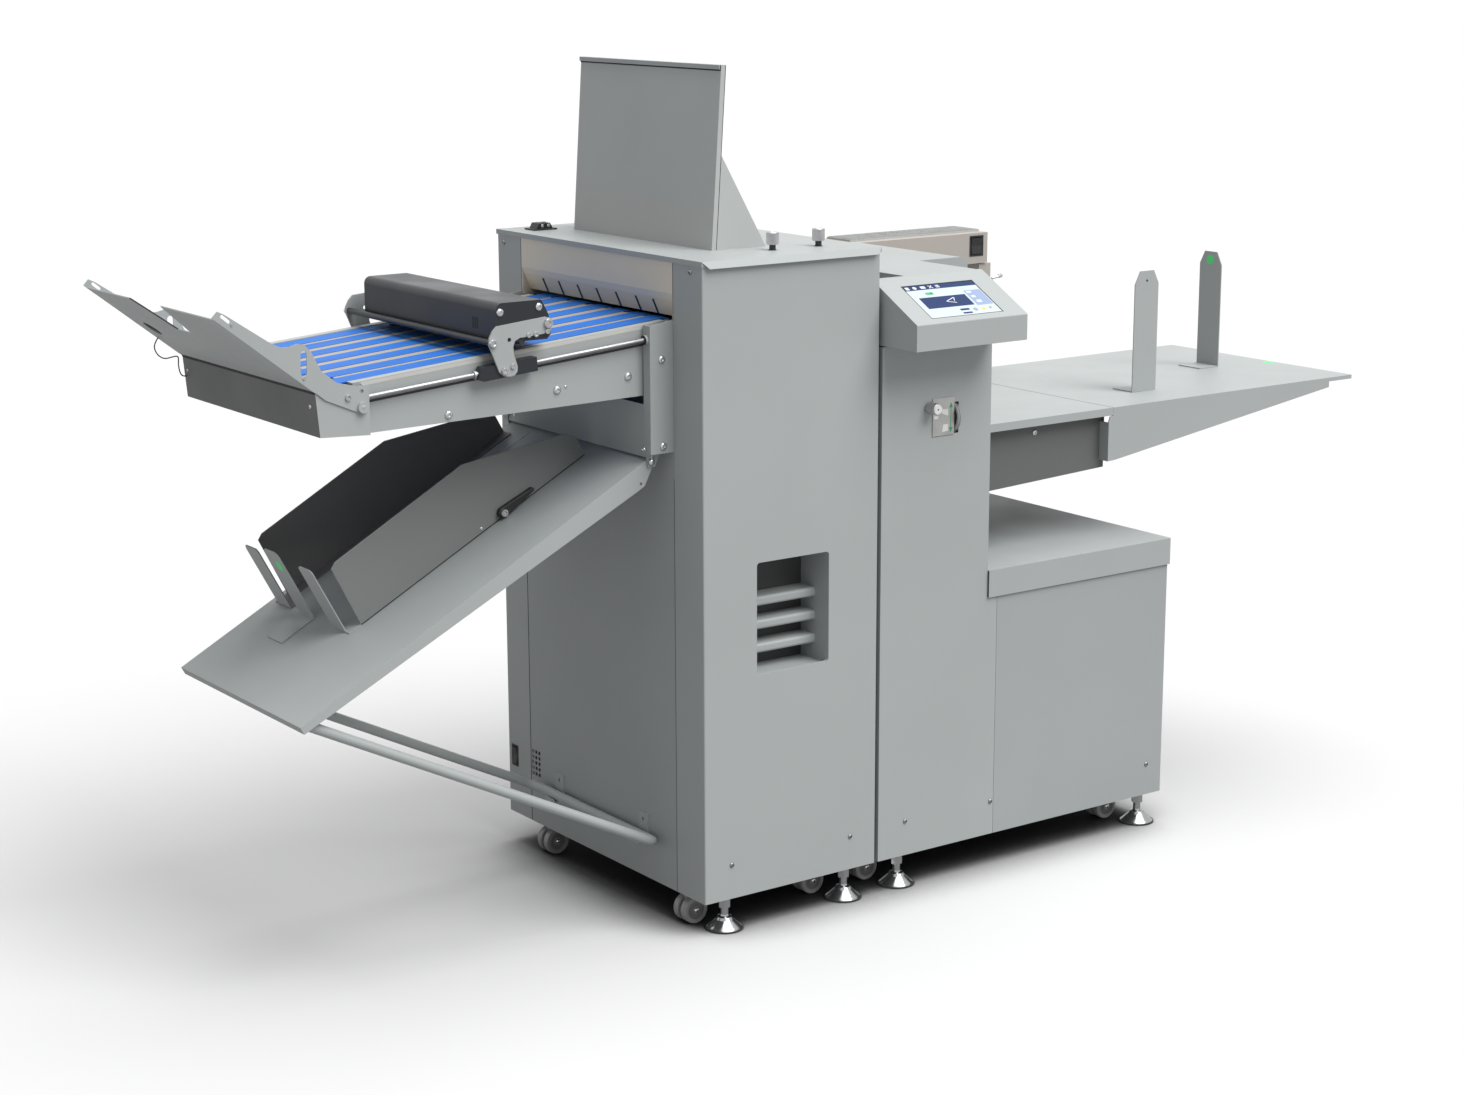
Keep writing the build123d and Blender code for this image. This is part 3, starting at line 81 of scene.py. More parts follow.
# ---------- finishes ----------
class Finish:
    """A node material: the shader's own sockets set directly, its patterns in object space."""

    # The share of a noise's range over which colour and roughness follow it.
    NOISE_LOW, NOISE_HIGH = 0.3, 0.7

    def __init__(self, name, colour, rough, metal=0.0, **sockets):
        self.material = bpy.data.materials.new(name)
        self.material.use_nodes = True
        self.nodes = self.material.node_tree.nodes
        self.links = self.material.node_tree.links
        self.shader = self.nodes["Principled BSDF"]
        self.colour = (*colour, 1.0)
        self.rough = rough
        self.shader.inputs["Base Color"].default_value = self.colour
        self.shader.inputs["Roughness"].default_value = rough
        self.shader.inputs["Metallic"].default_value = metal
        for socket, value in sockets.items():
            self.shader.inputs[socket.replace("_", " ")].default_value = value
        self.coordinates = self.nodes.new("ShaderNodeTexCoord")
        self.last_height = None

    def noise(self, per_metre, detail=3.0, stretch=(1, 1, 1), seed_shift=0.0):
        mapping = self.nodes.new("ShaderNodeMapping")
        mapping.inputs["Scale"].default_value = stretch
        mapping.inputs["Location"].default_value = (seed_shift, seed_shift, seed_shift)
        texture = self.nodes.new("ShaderNodeTexNoise")
        texture.inputs["Scale"].default_value = per_metre
        texture.inputs["Detail"].default_value = detail
        self.links.new(self.coordinates.outputs["Object"], mapping.inputs["Vector"])
        self.links.new(mapping.outputs["Vector"], texture.inputs["Vector"])
        return texture.outputs["Fac"]

    def ribs(self, direction, per_metre):
        """Straight ribs square to one axis."""
        wave = self.nodes.new("ShaderNodeTexWave")
        wave.wave_type = "BANDS"
        wave.bands_direction = direction
        wave.inputs["Scale"].default_value = per_metre
        self.links.new(self.coordinates.outputs["Object"], wave.inputs["Vector"])
        return wave.outputs["Fac"]

    def mottle(self, source, amount):
        """Base colour goes a little lighter and darker with the source."""
        ramp = self.nodes.new("ShaderNodeValToRGB")
        low, high = ramp.color_ramp.elements
        low.position, high.position = self.NOISE_LOW, self.NOISE_HIGH
        low.color = [c * (1 - amount) for c in self.colour[:3]] + [1]
        high.color = [min(1, c * (1 + amount)) for c in self.colour[:3]] + [1]
        self.links.new(source, ramp.inputs["Fac"])
        self.links.new(ramp.outputs["Color"], self.shader.inputs["Base Color"])

    def rub(self, source, amount):
        """Roughness wanders with the source, as handling leaves it."""
        remap = self.nodes.new("ShaderNodeMapRange")
        remap.inputs["From Min"].default_value = self.NOISE_LOW
        remap.inputs["From Max"].default_value = self.NOISE_HIGH
        remap.inputs["To Min"].default_value = self.rough - amount
        remap.inputs["To Max"].default_value = min(1, self.rough + amount)
        self.links.new(source, remap.inputs["Value"])
        self.links.new(remap.outputs["Result"], self.shader.inputs["Roughness"])

    def relief(self, source, depth_mm):
        """A bump on top of the reliefs that came before it."""
        bump = self.nodes.new("ShaderNodeBump")
        bump.inputs["Distance"].default_value = depth_mm * MM
        bump.inputs["Strength"].default_value = 1.0
        self.links.new(source, bump.inputs["Height"])
        if self.last_height is not None:
            self.links.new(self.last_height, bump.inputs["Normal"])
        self.last_height = bump.outputs["Normal"]
        self.links.new(self.last_height, self.shader.inputs["Normal"])


def powder_coat(name, colour, rough=0.5, grain=0.10):
    """Sprayed sheet metal: a fine orange-peel grain and faint cloudiness."""
    paint = Finish(name, colour, rough, Specular_IOR_Level=0.4)
    paint.mottle(paint.noise(2.3, 5), 0.03)
    paint.rub(paint.noise(9, 4, seed_shift=3.1), 0.06)
    paint.relief(paint.noise(520, 2), grain)
    return paint.material


def bright_metal(name, colour, rough, brush=None):
    """Bare metal; brush gives the direction in which its fine lines run."""
    metal = Finish(name, colour, rough, 1.0)
    metal.rub(metal.noise(40, 5, seed_shift=1.7), rough * 0.35)
    if brush:
        lines = metal.noise(900, 2, stretch=brush)
        metal.relief(lines, 0.02)
        metal.mottle(lines, 0.05)
    return metal.material


def moulded_plastic(name, colour, rough, grain=0.04):
    """Plastic, rubber or laminate with a close grain."""
    plastic = Finish(name, colour, rough)
    plastic.mottle(plastic.noise(14, 4), 0.05)
    plastic.rub(plastic.noise(60, 3, seed_shift=5.3), 0.05)
    plastic.relief(plastic.noise(1300, 2), grain)
    return plastic.material


def belt_rubber(name, colour):
    """Fabric-backed belt: a fine weave and scuffed edges."""
    belt = Finish(name, colour, 0.55, Specular_IOR_Level=0.35)
    belt.mottle(belt.noise(25, 4, stretch=(0.15, 1, 1)), 0.10)
    belt.relief(belt.ribs("X", 190), 0.03)
    belt.relief(belt.ribs("Y", 190), 0.03)
    return belt.material


def printed(name, colour, rough=0.45):
    """Ink or label film: even colour with a faint grain."""
    ink = Finish(name, colour, rough)
    ink.mottle(ink.noise(200, 2), 0.02)
    return ink.material


def screen_ink(name, colour):
    """A patch of the touch screen's page."""
    patch = Finish(name, colour, 0.3, Specular_IOR_Level=0.15, Coat_Weight=0.1, Coat_Roughness=0.1)
    patch.mottle(patch.noise(300, 1), 0.015)
    return patch.material


def cover_glass(name, colour):
    """Clear-coated glass over a dark ground."""
    glass = Finish(name, colour, 0.08, Coat_Weight=0.6)
    glass.mottle(glass.noise(30, 2), 0.05)
    return glass.material


COVER = powder_coat("cover_powder_coat", (0.355, 0.377, 0.375))
INNER = powder_coat("frame_powder_coat", (0.33, 0.35, 0.35))
SATIN_BLACK = powder_coat("satin_black_coat", (0.018, 0.021, 0.026), 0.38, 0.05)
GUIDE_BLACK = powder_coat("textured_black_coat", (0.175, 0.172, 0.168), 0.62, 0.16)
BLACK = moulded_plastic("black_moulding", (0.014, 0.014, 0.015), 0.45)
ROLLER_RUBBER = moulded_plastic("roller_rubber", (0.022, 0.022, 0.023), 0.7, 0.08)
CREAM = moulded_plastic("slide_bed_laminate", (0.34, 0.315, 0.28), 0.5)
# A pale band for painted light along the rails' top edges.
RAIL_TOP_LIGHT = moulded_plastic("rail_top_painted_light", (0.50, 0.49, 0.465), 0.5)
BELT_BLUE = belt_rubber("blue_belt", (0.011, 0.132, 0.50))
BLOWER = powder_coat("blower_beige_coat", (0.40, 0.365, 0.335), 0.45)
RIBBED_STRIP = moulded_plastic("translucent_strip", (0.42, 0.43, 0.42), 0.3, 0.02)
CASTOR = moulded_plastic("castor_moulding", (0.30, 0.30, 0.295), 0.4, 0.03)
CASTOR_HUB = moulded_plastic("castor_hub_moulding", (0.19, 0.19, 0.19), 0.45, 0.03)
CHROME = bright_metal("chrome_plate", (0.60, 0.61, 0.62), 0.16)
FOOT_CHROME = bright_metal("foot_chrome", (0.38, 0.385, 0.39), 0.2)
GROUND_ROD = bright_metal("ground_rod", (0.28, 0.285, 0.29), 0.36)
# The hood's coats are lighter and warmer than the covers: painted light standing in for the light
# its lower face catches.
HOOD_LIT_COAT = powder_coat("hood_painted_light_coat", (0.70, 0.64, 0.52))
HOOD_FOLD_LIT_COAT = powder_coat("hood_fold_painted_light_coat", (0.74, 0.63, 0.45))
# A darker coat for painted shade on the near tray guide's face.
SHADED_COAT = powder_coat("near_guide_painted_shade_coat", (0.19, 0.20, 0.195))
# A darker coat for painted shade on the end plate and under the table.
PAINTED_DEEP_SHADE = powder_coat("painted_deep_shade_coat", (0.118, 0.124, 0.121))
# A near-black coat for painted shade in the tool rack's recess.
RECESS_SHADE_COAT = powder_coat("recess_painted_shade_coat", (0.055, 0.058, 0.057))
# The covers' grey made lighter for the guide plate: painted light on its high, open face.
PLATE_LIT_COAT = powder_coat("guide_plate_painted_light_coat", (0.425, 0.442, 0.435))
WHEEL_GREY = moulded_plastic("thumb_wheel_moulding", (0.36, 0.37, 0.37), 0.35)
ZINC = bright_metal("zinc_plate", (0.50, 0.50, 0.49), 0.38, (1, 0.04, 1))
SILVER = bright_metal("turned_aluminium", (0.56, 0.56, 0.57), 0.34, (1, 1, 0.05))
STEEL_SCREW = bright_metal("screw_steel", (0.60, 0.61, 0.62), 0.28)
SCREEN_GLASS = cover_glass("screen_cover_glass", (0.02, 0.025, 0.04))
LEAD = moulded_plastic("lead_jacket", (0.012, 0.012, 0.013), 0.5)
GREEN_INK = printed("green_mark", (0.075, 0.76, 0.21))
ARROW_INK = printed("arrow_green", (0.02, 0.27, 0.085))
LABEL_INK = printed("label_field", (0.66, 0.65, 0.64))
# Black for real seams and gaps, and for painted shadow lines.
SHADOW_GAP = printed("dark_seam_and_painted_shadow", (0.02, 0.02, 0.02), 0.8)
KNOB_FACE = printed("knob_face_plate", (0.72, 0.72, 0.72), 0.35)

NODE_FINISH = {
    COVER: ["tower_front_cover", "tower_rear_cover", "tower_top_cover", "tool_rack",
            "side_brackets", "conveyor_rails", "conveyor_end_box",
            "press_carriage", "sheet_stop", "catch_tray", "tray_guide_near", "tray_end_stop",
            "tray_bail", "feeder_front_panel", "feeder_deck_cover", "feed_head_cover",
            "console_housing", "pile_table", "pile_side_guide", "pile_tail_stop"],
    INNER: ["tower_frame", "feeder_cabinet", "castor_forks"],
    HOOD_LIT_COAT: ["exit_hood"],
    FOOT_CHROME: ["levelling_feet"],
    PLATE_LIT_COAT: ["sheet_guide_plate"],
    GROUND_ROD: ["slide_rods"],
    ZINC: ["fold_knife", "crease_blade", "conveyor_drive_roller", "conveyor_tail_roller",
           "suction_drum", "adjuster_plate"],
    ROLLER_RUBBER: ["fold_roller_upper", "fold_roller_lower", "press_roller"],
    SATIN_BLACK: ["drive_motor", "vacuum_pump", "press_housing"],
    GUIDE_BLACK: ["tray_guide_far"],
    CREAM: ["belt_bed"],
    BELT_BLUE: ["conveyor_belts"],
    BLACK: ["clamp_lever", "tower_switch", "blower_switch", "sensor_lead"],
    WHEEL_GREY: ["adjuster_wheel"],
    SILVER: ["cover_knob_left", "cover_knob_right", "adjuster_knob"],
    BLOWER: ["blower_box"],
    SCREEN_GLASS: ["touch_screen"],
    CASTOR: [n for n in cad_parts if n.startswith("castor_") and n != "castor_forks"],
}
for finish, names in NODE_FINISH.items():
    for node_name in names:
        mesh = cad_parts[node_name].data
        mesh.materials.clear()
        mesh.materials.append(finish)


# ---------- building pieces ----------
# Edges that turn by fewer degrees than this are shaded round.
SMOOTH_BELOW, KNURL_SMOOTH_BELOW = 35, 30
# Points nearer to each other than this are one point.
MERGE_DISTANCE = 1e-4
# A lathe profile ends in a ring of this radius, and one small polygon closes it.
AXIS_RADIUS = 0.01
# Thickness of the skins and strips that lie on a face.
SKIN = 0.25


def in_scene(name, data):
    """An object of the data, linked to the scene."""
    made = bpy.data.objects.new(name, data)
    bpy.context.scene.collection.objects.link(made)
    return made


def finished(name, mesh, finish, body):
    """Makes the piece's object at the frame's origin and lets it ride on its body."""
    piece = in_scene(name, mesh)
    if finish is not None:
        mesh.materials.clear()
        mesh.materials.append(finish)
    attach(piece, body)
    return piece


def mesh_from(work, name, smooth_below=None):
    """The plain mesh of a bmesh; edges under smooth_below degrees are shaded round."""
    mesh = bpy.data.meshes.new(name)
    work.to_mesh(mesh)
    work.free()
    if smooth_below is not None:
        mesh.polygons.foreach_set("use_smooth", [True] * len(mesh.polygons))
        mesh.set_sharp_from_angle(angle=math.radians(smooth_below))
    return mesh


def mesh_of(name, build, smooth_below=None):
    """A mesh from a bmesh builder whose points are in millimetres."""
    work = bmesh.new()
    build(work)
    bmesh.ops.remove_doubles(work, verts=work.verts, dist=MERGE_DISTANCE)
    bmesh.ops.recalc_face_normals(work, faces=work.faces)
    for v in work.verts:
        v.co = (v.co - FRAME_ORIGIN) * MM
    return mesh_from(work, name, smooth_below)


def add_prism(work, outline, run):
    """A closed outline of points, carried along the vector run."""
    near = [work.verts.new(p) for p in outline]
    far = [work.verts.new(Vector(p) + Vector(run)) for p in outline]
    work.faces.new(near)
    work.faces.new(far[::-1])
    for i in range(len(near)):
        j = (i + 1) % len(near)
        work.faces.new((near[i], near[j], far[j], far[i]))


def add_lathe(work, centre, axis, profile, steps=32, six_sided=()):
    """Revolves (radius, height) pairs about an axis; rings named in six_sided follow a hexagon."""
    turn = Vector(axis).to_track_quat("Z", "Y")
    rings = []
    for index, (radius, height) in enumerate(profile):
        ring = []
        for k in range(steps):
            angle = 2 * math.pi * k / steps
            r = radius
            if index in six_sided:
                r = radius / math.cos((angle + math.pi / 6) % (math.pi / 3) - math.pi / 6)
            point = Vector((r * math.cos(angle), r * math.sin(angle), height))
            ring.append(work.verts.new(Vector(centre) + turn @ point))
        rings.append(ring)
    for low, high in zip(rings, rings[1:]):
        for k in range(steps):
            j = (k + 1) % steps
            work.faces.new((low[k], low[j], high[j], high[k]))
    work.faces.new(rings[0][::-1])
    work.faces.new(rings[-1])


def lathe_piece(name, places, profile, finish, body, steps=32):
    """One turned shape at each (centre, axis) of places."""
    def build(work):
        for centre, axis in places:
            add_lathe(work, centre, axis, profile, steps)
    return finished(name, mesh_of(name, build, SMOOTH_BELOW), finish, body)


def disc_piece(name, centre, axis, radius, thick, finish, body, steps=32):
    """A thin round plate that grows from its centre along its axis."""
    profile = [(radius, 0), (radius, thick), (AXIS_RADIUS, thick)]
    return lathe_piece(name, [(centre, axis)], profile, finish, body, steps)


def prism_piece(name, prisms, finish, body):
    """One piece of several prisms, each an outline of points and the vector that carries it."""
    def build(work):
        for outline, run in prisms:
            add_prism(work, outline, run)
    return finished(name, mesh_of(name, build), finish, body)


def dark_piece(name, prisms, body="root"):
    """A dark seam or gap, or a painted shadow line."""
    return prism_piece(name, prisms, SHADOW_GAP, body)


def slab(x0, x1, y0, y1, z0, z1):
    """Outline and run of a block."""
    return [(x0, y0, z0), (x1, y0, z0), (x1, y1, z0), (x0, y1, z0)], (0, 0, z1 - z0)


def slope_sheet(slope, outline, y, thick):
    """A thin upright sheet: outline in (along, above) of a slope, from y on by thick."""
    return [on_slope(slope, s, y, n) for s, n in outline], (0, thick, 0)


def slope_plate(slope, outline, n, thick):
    """A thin plate that lies on a slope: outline in (along, y), from n above it by thick."""
    return [on_slope(slope, s, y, n) for s, y in outline], slope[2] * thick


def box_outline(u0, u1, v0, v1):
    return [(u0, v0), (u1, v0), (u1, v1), (u0, v1)]


def disc_outline(u, v, radius, steps=20):
    angles = [2 * math.pi * k / steps for k in range(steps)]
    return [(u + radius * math.cos(a), v + radius * math.sin(a)) for a in angles]


def line_outline(a, b, width):
    (au, av), (bu, bv) = a, b
    length = math.dist(a, b)
    nu, nv = -(bv - av) / length * width / 2, (bu - au) / length * width / 2
    return [(au + nu, av + nv), (au - nu, av - nv), (bu - nu, bv - nv), (bu + nu, bv + nv)]


def frame_bars(u0, u1, v0, v1, width):
    """The four bars of a rectangular frame: its two full sides, then the two between them."""
    return [(u0, u0 + width, v0, v1), (u1 - width, u1, v0, v1),
            (u0 + width, u1 - width, v0, v0 + width), (u0 + width, u1 - width, v1 - width, v1)]


def bevelled(piece, width_mm):
    """Rounds a piece's edges and applies it."""
    modifier = piece.modifiers.new("edge", "BEVEL")
    modifier.width = width_mm * MM
    modifier.segments = 2
    modifier.limit_method = "ANGLE"
    graph = bpy.context.evaluated_depsgraph_get()
    mesh = bpy.data.meshes.new_from_object(piece.evaluated_get(graph))
    piece.modifiers.clear()
    piece.data = mesh
    return piece


# ---------- geometry-node trees ----------
# Radians between two corners of a hexagon: a screw head's turn is drawn from this range.
HEXAGON_STEP = 1.047


def node_tree(name, sockets):
    tree = bpy.data.node_groups.new(name, "GeometryNodeTree")
    tree.interface.new_socket("Geometry", in_out="INPUT", socket_type="NodeSocketGeometry")
    for label, kind in sockets:
        tree.interface.new_socket(label, in_out="INPUT", socket_type="NodeSocket" + kind)
    tree.interface.new_socket("Geometry", in_out="OUTPUT", socket_type="NodeSocketGeometry")
    inputs, outputs = tree.nodes.new("NodeGroupInput"), tree.nodes.new("NodeGroupOutput")
    return tree, inputs, outputs


def chain_to_output(tree, last, finish_socket, outputs):
    """Every tree ends in Realize Instances and Set Material."""
    realize = tree.nodes.new("GeometryNodeRealizeInstances")
    paint = tree.nodes.new("GeometryNodeSetMaterial")
    tree.links.new(last, realize.inputs["Geometry"])
    tree.links.new(realize.outputs["Geometry"], paint.inputs["Geometry"])
    tree.links.new(finish_socket, paint.inputs["Material"])
    tree.links.new(paint.outputs["Geometry"], outputs.inputs["Geometry"])


def fastener_tree():
    """One head on every point, turned to the point's aim and scaled to its radius."""
    tree, inputs, outputs = node_tree("fasteners", [
        ("Head", "Object"), ("Turn seed", "Int"), ("Finish", "Material")])
    nodes, links = tree.nodes, tree.links
    head = nodes.new("GeometryNodeObjectInfo")
    aim = nodes.new("GeometryNodeInputNamedAttribute")
    aim.data_type = "FLOAT_VECTOR"
    aim.inputs["Name"].default_value = "aim"
    size = nodes.new("GeometryNodeInputNamedAttribute")
    size.data_type = "FLOAT"
    size.inputs["Name"].default_value = "head_radius"
    align = nodes.new("FunctionNodeAlignRotationToVector")
    align.axis = "Z"
    chance = nodes.new("FunctionNodeRandomValue")
    chance.inputs[3].default_value = HEXAGON_STEP
    spin = nodes.new("FunctionNodeAxisAngleToRotation")
    both = nodes.new("FunctionNodeRotateRotation")
    both.rotation_space = "LOCAL"
    put = nodes.new("GeometryNodeInstanceOnPoints")
    links.new(inputs.outputs["Head"], head.inputs["Object"])
    links.new(aim.outputs["Attribute"], align.inputs["Vector"])
    links.new(inputs.outputs["Turn seed"], chance.inputs["Seed"])
    links.new(chance.outputs[1], spin.inputs["Angle"])
    links.new(align.outputs["Rotation"], both.inputs["Rotation"])
    links.new(spin.outputs["Rotation"], both.inputs["Rotate By"])
    links.new(inputs.outputs["Geometry"], put.inputs["Points"])
    links.new(head.outputs["Geometry"], put.inputs["Instance"])
    links.new(both.outputs["Rotation"], put.inputs["Rotation"])
    links.new(size.outputs["Attribute"], put.inputs["Scale"])
    chain_to_output(tree, put.outputs["Instances"], inputs.outputs["Finish"], outputs)
    return tree


def knurl_tree():
    """Straight ridges round a turned grip: one thin ridge on each point of a circle."""
    tree, inputs, outputs = node_tree("knurl_ridges", [
        ("Radius", "Float"), ("Length", "Float"), ("Ridge", "Float"), ("Count", "Int"),
        ("Finish", "Material")])
    nodes, links = tree.nodes, tree.links
    circle = nodes.new("GeometryNodeMeshCircle")
    ridge = nodes.new("GeometryNodeMeshCylinder")
    ridge.inputs["Vertices"].default_value = 4
    along = nodes.new("GeometryNodeInputPosition")
    align = nodes.new("FunctionNodeAlignRotationToVector")
    align.axis = "X"
    align.pivot_axis = "Z"
    put = nodes.new("GeometryNodeInstanceOnPoints")
    join = nodes.new("GeometryNodeJoinGeometry")
    links.new(inputs.outputs["Count"], circle.inputs["Vertices"])
    links.new(inputs.outputs["Radius"], circle.inputs["Radius"])
    links.new(inputs.outputs["Ridge"], ridge.inputs["Radius"])
    links.new(inputs.outputs["Length"], ridge.inputs["Depth"])
    links.new(along.outputs["Position"], align.inputs["Vector"])
    links.new(circle.outputs["Mesh"], put.inputs["Points"])
    links.new(ridge.outputs["Mesh"], put.inputs["Instance"])
    links.new(align.outputs["Rotation"], put.inputs["Rotation"])
    links.new(put.outputs["Instances"], join.inputs["Geometry"])
    links.new(inputs.outputs["Geometry"], join.inputs["Geometry"])
    chain_to_output(tree, join.outputs["Geometry"], inputs.outputs["Finish"], outputs)
    return tree


def grown(name, mesh, tree, values, move=None):
    """Runs a tree on a mesh and gives back the plain mesh that it makes."""
    seed_object = in_scene(name + "_seed", mesh)
    modifier = seed_object.modifiers.new("tree", "NODES")
    modifier.node_group = tree
    for item in tree.interface.items_tree:
        if item.name in values:
            modifier[item.identifier] = values[item.name]
    graph = bpy.context.evaluated_depsgraph_get()
    result = bpy.data.meshes.new_from_object(seed_object.evaluated_get(graph))
    bpy.data.objects.remove(seed_object)
    result.name = name
    if move is not None:
        result.transform(move)
    return result


def head_object(name, profile, six_sided=()):
    """A unit screw head, one metre in radius, that the fastener tree scales down."""
    work = bmesh.new()
    add_lathe(work, (0, 0, 0), TOP, profile, 24, six_sided)
    bmesh.ops.remove_doubles(work, verts=work.verts, dist=MERGE_DISTANCE)
    return in_scene(name, mesh_from(work, name, SMOOTH_BELOW))


FASTENERS = fastener_tree()
KNURL = knurl_tree()
HEADS = {
    "button": head_object("button_head", [
        (1, -0.05), (1, 0.14), (0.93, 0.32), (0.78, 0.47), (0.56, 0.55), (0.40, 0.55), (0.38, 0.2),
        (AXIS_RADIUS, 0.2)], six_sided=(5, 6)),
    "cap": head_object("cap_head", [
        (1, -0.05), (1, 0.52), (0.93, 0.62), (0.62, 0.65), (0.5, 0.65), (0.48, 0.3),
        (AXIS_RADIUS, 0.3)], six_sided=(4, 5)),
    "dome": head_object("dome_head", [
        (1, -0.05), (1, 0.12), (0.9, 0.34), (0.66, 0.52), (0.34, 0.6), (AXIS_RADIUS, 0.62)]),
}


def fasteners(name, head, rows, body, finish=STEEL_SCREW, seed=1):
    """rows hold (x, y, z, aim, head radius), all in millimetres."""
    mesh = bpy.data.meshes.new(name + "_points")
    mesh.from_pydata([place(x, y, z) for x, y, z, aim, radius in rows], [], [])
    mesh.attributes.new("aim", "FLOAT_VECTOR", "POINT")
    mesh.attributes.new("head_radius", "FLOAT", "POINT")
    for i, (x, y, z, aim, radius) in enumerate(rows):
        mesh.attributes["aim"].data[i].vector = aim
        mesh.attributes["head_radius"].data[i].value = radius * MM
    made = grown(name, mesh, FASTENERS, {"Head": HEADS[head], "Turn seed": seed, "Finish": finish})
    return finished(name, made, None, body)


def knurled_grip(name, centre, axis, radius, length, count, body, finish=SILVER):
    """A turned cap with a chamfer at each end and straight knurl ridges between them."""
    chamfer = 0.09 * radius
    half = length / 2
    dish = 0.4
    profile = [(radius - chamfer, -half), (radius, -half + chamfer), (radius, half - chamfer),
               (radius - chamfer, half), (radius * 0.5, half), (radius * 0.46, half - dish),
               (AXIS_RADIUS, half - dish)]
    core = bmesh.new()
    add_lathe(core, (0, 0, 0), TOP, [(r * MM, h * MM) for r, h in profile], 48)
    turn = Vector(axis).to_track_quat("Z", "Y").to_matrix().to_4x4()
    made = grown(name, mesh_from(core, name + "_core", KNURL_SMOOTH_BELOW), KNURL, {
        "Radius": radius * MM, "Length": (length - 2.6 * chamfer) * MM,
        "Ridge": 0.055 * radius * MM, "Count": count, "Finish": finish,
    }, Matrix.Translation(place(*centre)) @ turn)
    return finished(name, made, None, body)


# ---------- camera and the sensor's lead ----------
CAMERA_PLACE = (-2.909846, -4.093506, 1.914627)
CAMERA_DEGREES = (35.604, 12.784, -0.168)
LENS_MM, SENSOR_MM = 65.81, 36.0


def main_camera():
    """CAMERA_DEGREES are the yaw from +y towards +x, the pitch down and the roll."""
    data = bpy.data.cameras.new("camera")
    data.lens, data.sensor_width, data.sensor_fit = LENS_MM, SENSOR_MM, "HORIZONTAL"
    data.clip_start, data.clip_end = 0.1, 500
    camera = in_scene("camera", data)
    bpy.context.scene.camera = camera
    yaw, pitch, roll = (math.radians(a) for a in CAMERA_DEGREES)
    ahead = Vector((math.sin(yaw) * math.cos(pitch), math.cos(yaw) * math.cos(pitch),
                    -math.sin(pitch)))
    level = Vector((math.cos(yaw), -math.sin(yaw), 0))
    upright = level.cross(ahead)
    right = math.cos(roll) * level + math.sin(roll) * upright
    up = math.cos(roll) * upright - math.sin(roll) * level
    turn = Matrix((right, up, -ahead)).transposed().to_4x4()
    camera.matrix_world = Matrix.Translation(CAMERA_PLACE) @ turn


main_camera()

LEAD_ROUTE = [(-806.2, 640, 1186.1), (-815.5, 640, 1174.2), (-813, 641, 1160),
              (-804, 642, 1149), (-793, 642, 1144), (-779, 642, 1146.5), (-766, 641, 1148),
              (-768, 640, 1132), (-766, 640, 1117), (-760.5, 640, 1107.3), (-752.15, 640, 1108)]
LEAD_RADIUS = 1.2


def sensor_lead():
    data = bpy.data.curves.new("sensor_lead_cord", "CURVE")
    data.dimensions = "3D"
    spline = data.splines.new("NURBS")
    spline.points.add(len(LEAD_ROUTE) - 1)
    for point, where in zip(spline.points, LEAD_ROUTE):
        point.co = (*place(*where), 1)
    spline.order_u = 3
    spline.use_endpoint_u = True
    data.resolution_u = 12
    data.bevel_depth = LEAD_RADIUS * MM
    data.bevel_resolution = 4
    data.use_fill_caps = True
    data.materials.append(LEAD)
    lead = in_scene("sensor_lead_cord", data)
    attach(lead, "root")
    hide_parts("sensor_lead")


sensor_lead()

# ---------- screws and bolts ----------
CABINET_SCREW = 5.2


def both_sides(rows):
    """The same heads again on the far side of the paper path."""
    return rows + [(x, 2 * MID_Y - y, z, (aim[0], -aim[1], aim[2]), r)
                   for x, y, z, aim, r in rows]


fasteners("cabinet_screws", "button", [
    *[(x, 0, z, FRONT, CABINET_SCREW) for x, z in (
        (64.4, 138), (359.5, 138), (503.5, 142), (735, 140), (1189.5, 138))],
    (0, 714.7, 1306, LEFT, 5), (0, 39, 1309, LEFT, 5),
    *[(x, CABINET_DEPTH, z, BACK, CABINET_SCREW) for x, z in (
        (64.4, 138), (359.5, 138), (503.5, 142), (1189.5, 138), (64.4, 1290), (359.5, 1290))],
    *[(CABINET_END, y, z, RIGHT, CABINET_SCREW) for z in (560, 110) for y in (60, 680)],
], "root", GROUND_ROD)
fasteners("bracket_bolts", "button", both_sides([
    (-26.9, 97, 1139.6, FRONT, 7.5), (-24.5, 97, 972, FRONT, 7.5),
    (-476, 124, 1076.5, FRONT, 8), (-244, 124, 1099, FRONT, 8), (-85.6, 124, 1109.4, FRONT, 8),
    (-225, 124, 1103.6, FRONT, 3), (-56, 114, 967, FRONT, 3.5),
]), "root", seed=2)
fasteners("pivot_bolts", "dome", both_sides([
    (-666, 94.2, 1114, FRONT, 10.6), (-41, 112.2, 941, FRONT, 7),
]), "root", CHROME, seed=3)
END_PLATE_OUT = (-0.996, 0, 0.088)
fasteners("end_plate_screws", "button", [
    (-753.1, 122, 1120, END_PLATE_OUT, 4), (-753.1, 632, 1120, END_PLATE_OUT, 3),
    (-50.2, 603, 963, LEFT, 3.5), (-50.2, 131, 963, LEFT, 3.5),
], "root", seed=4)
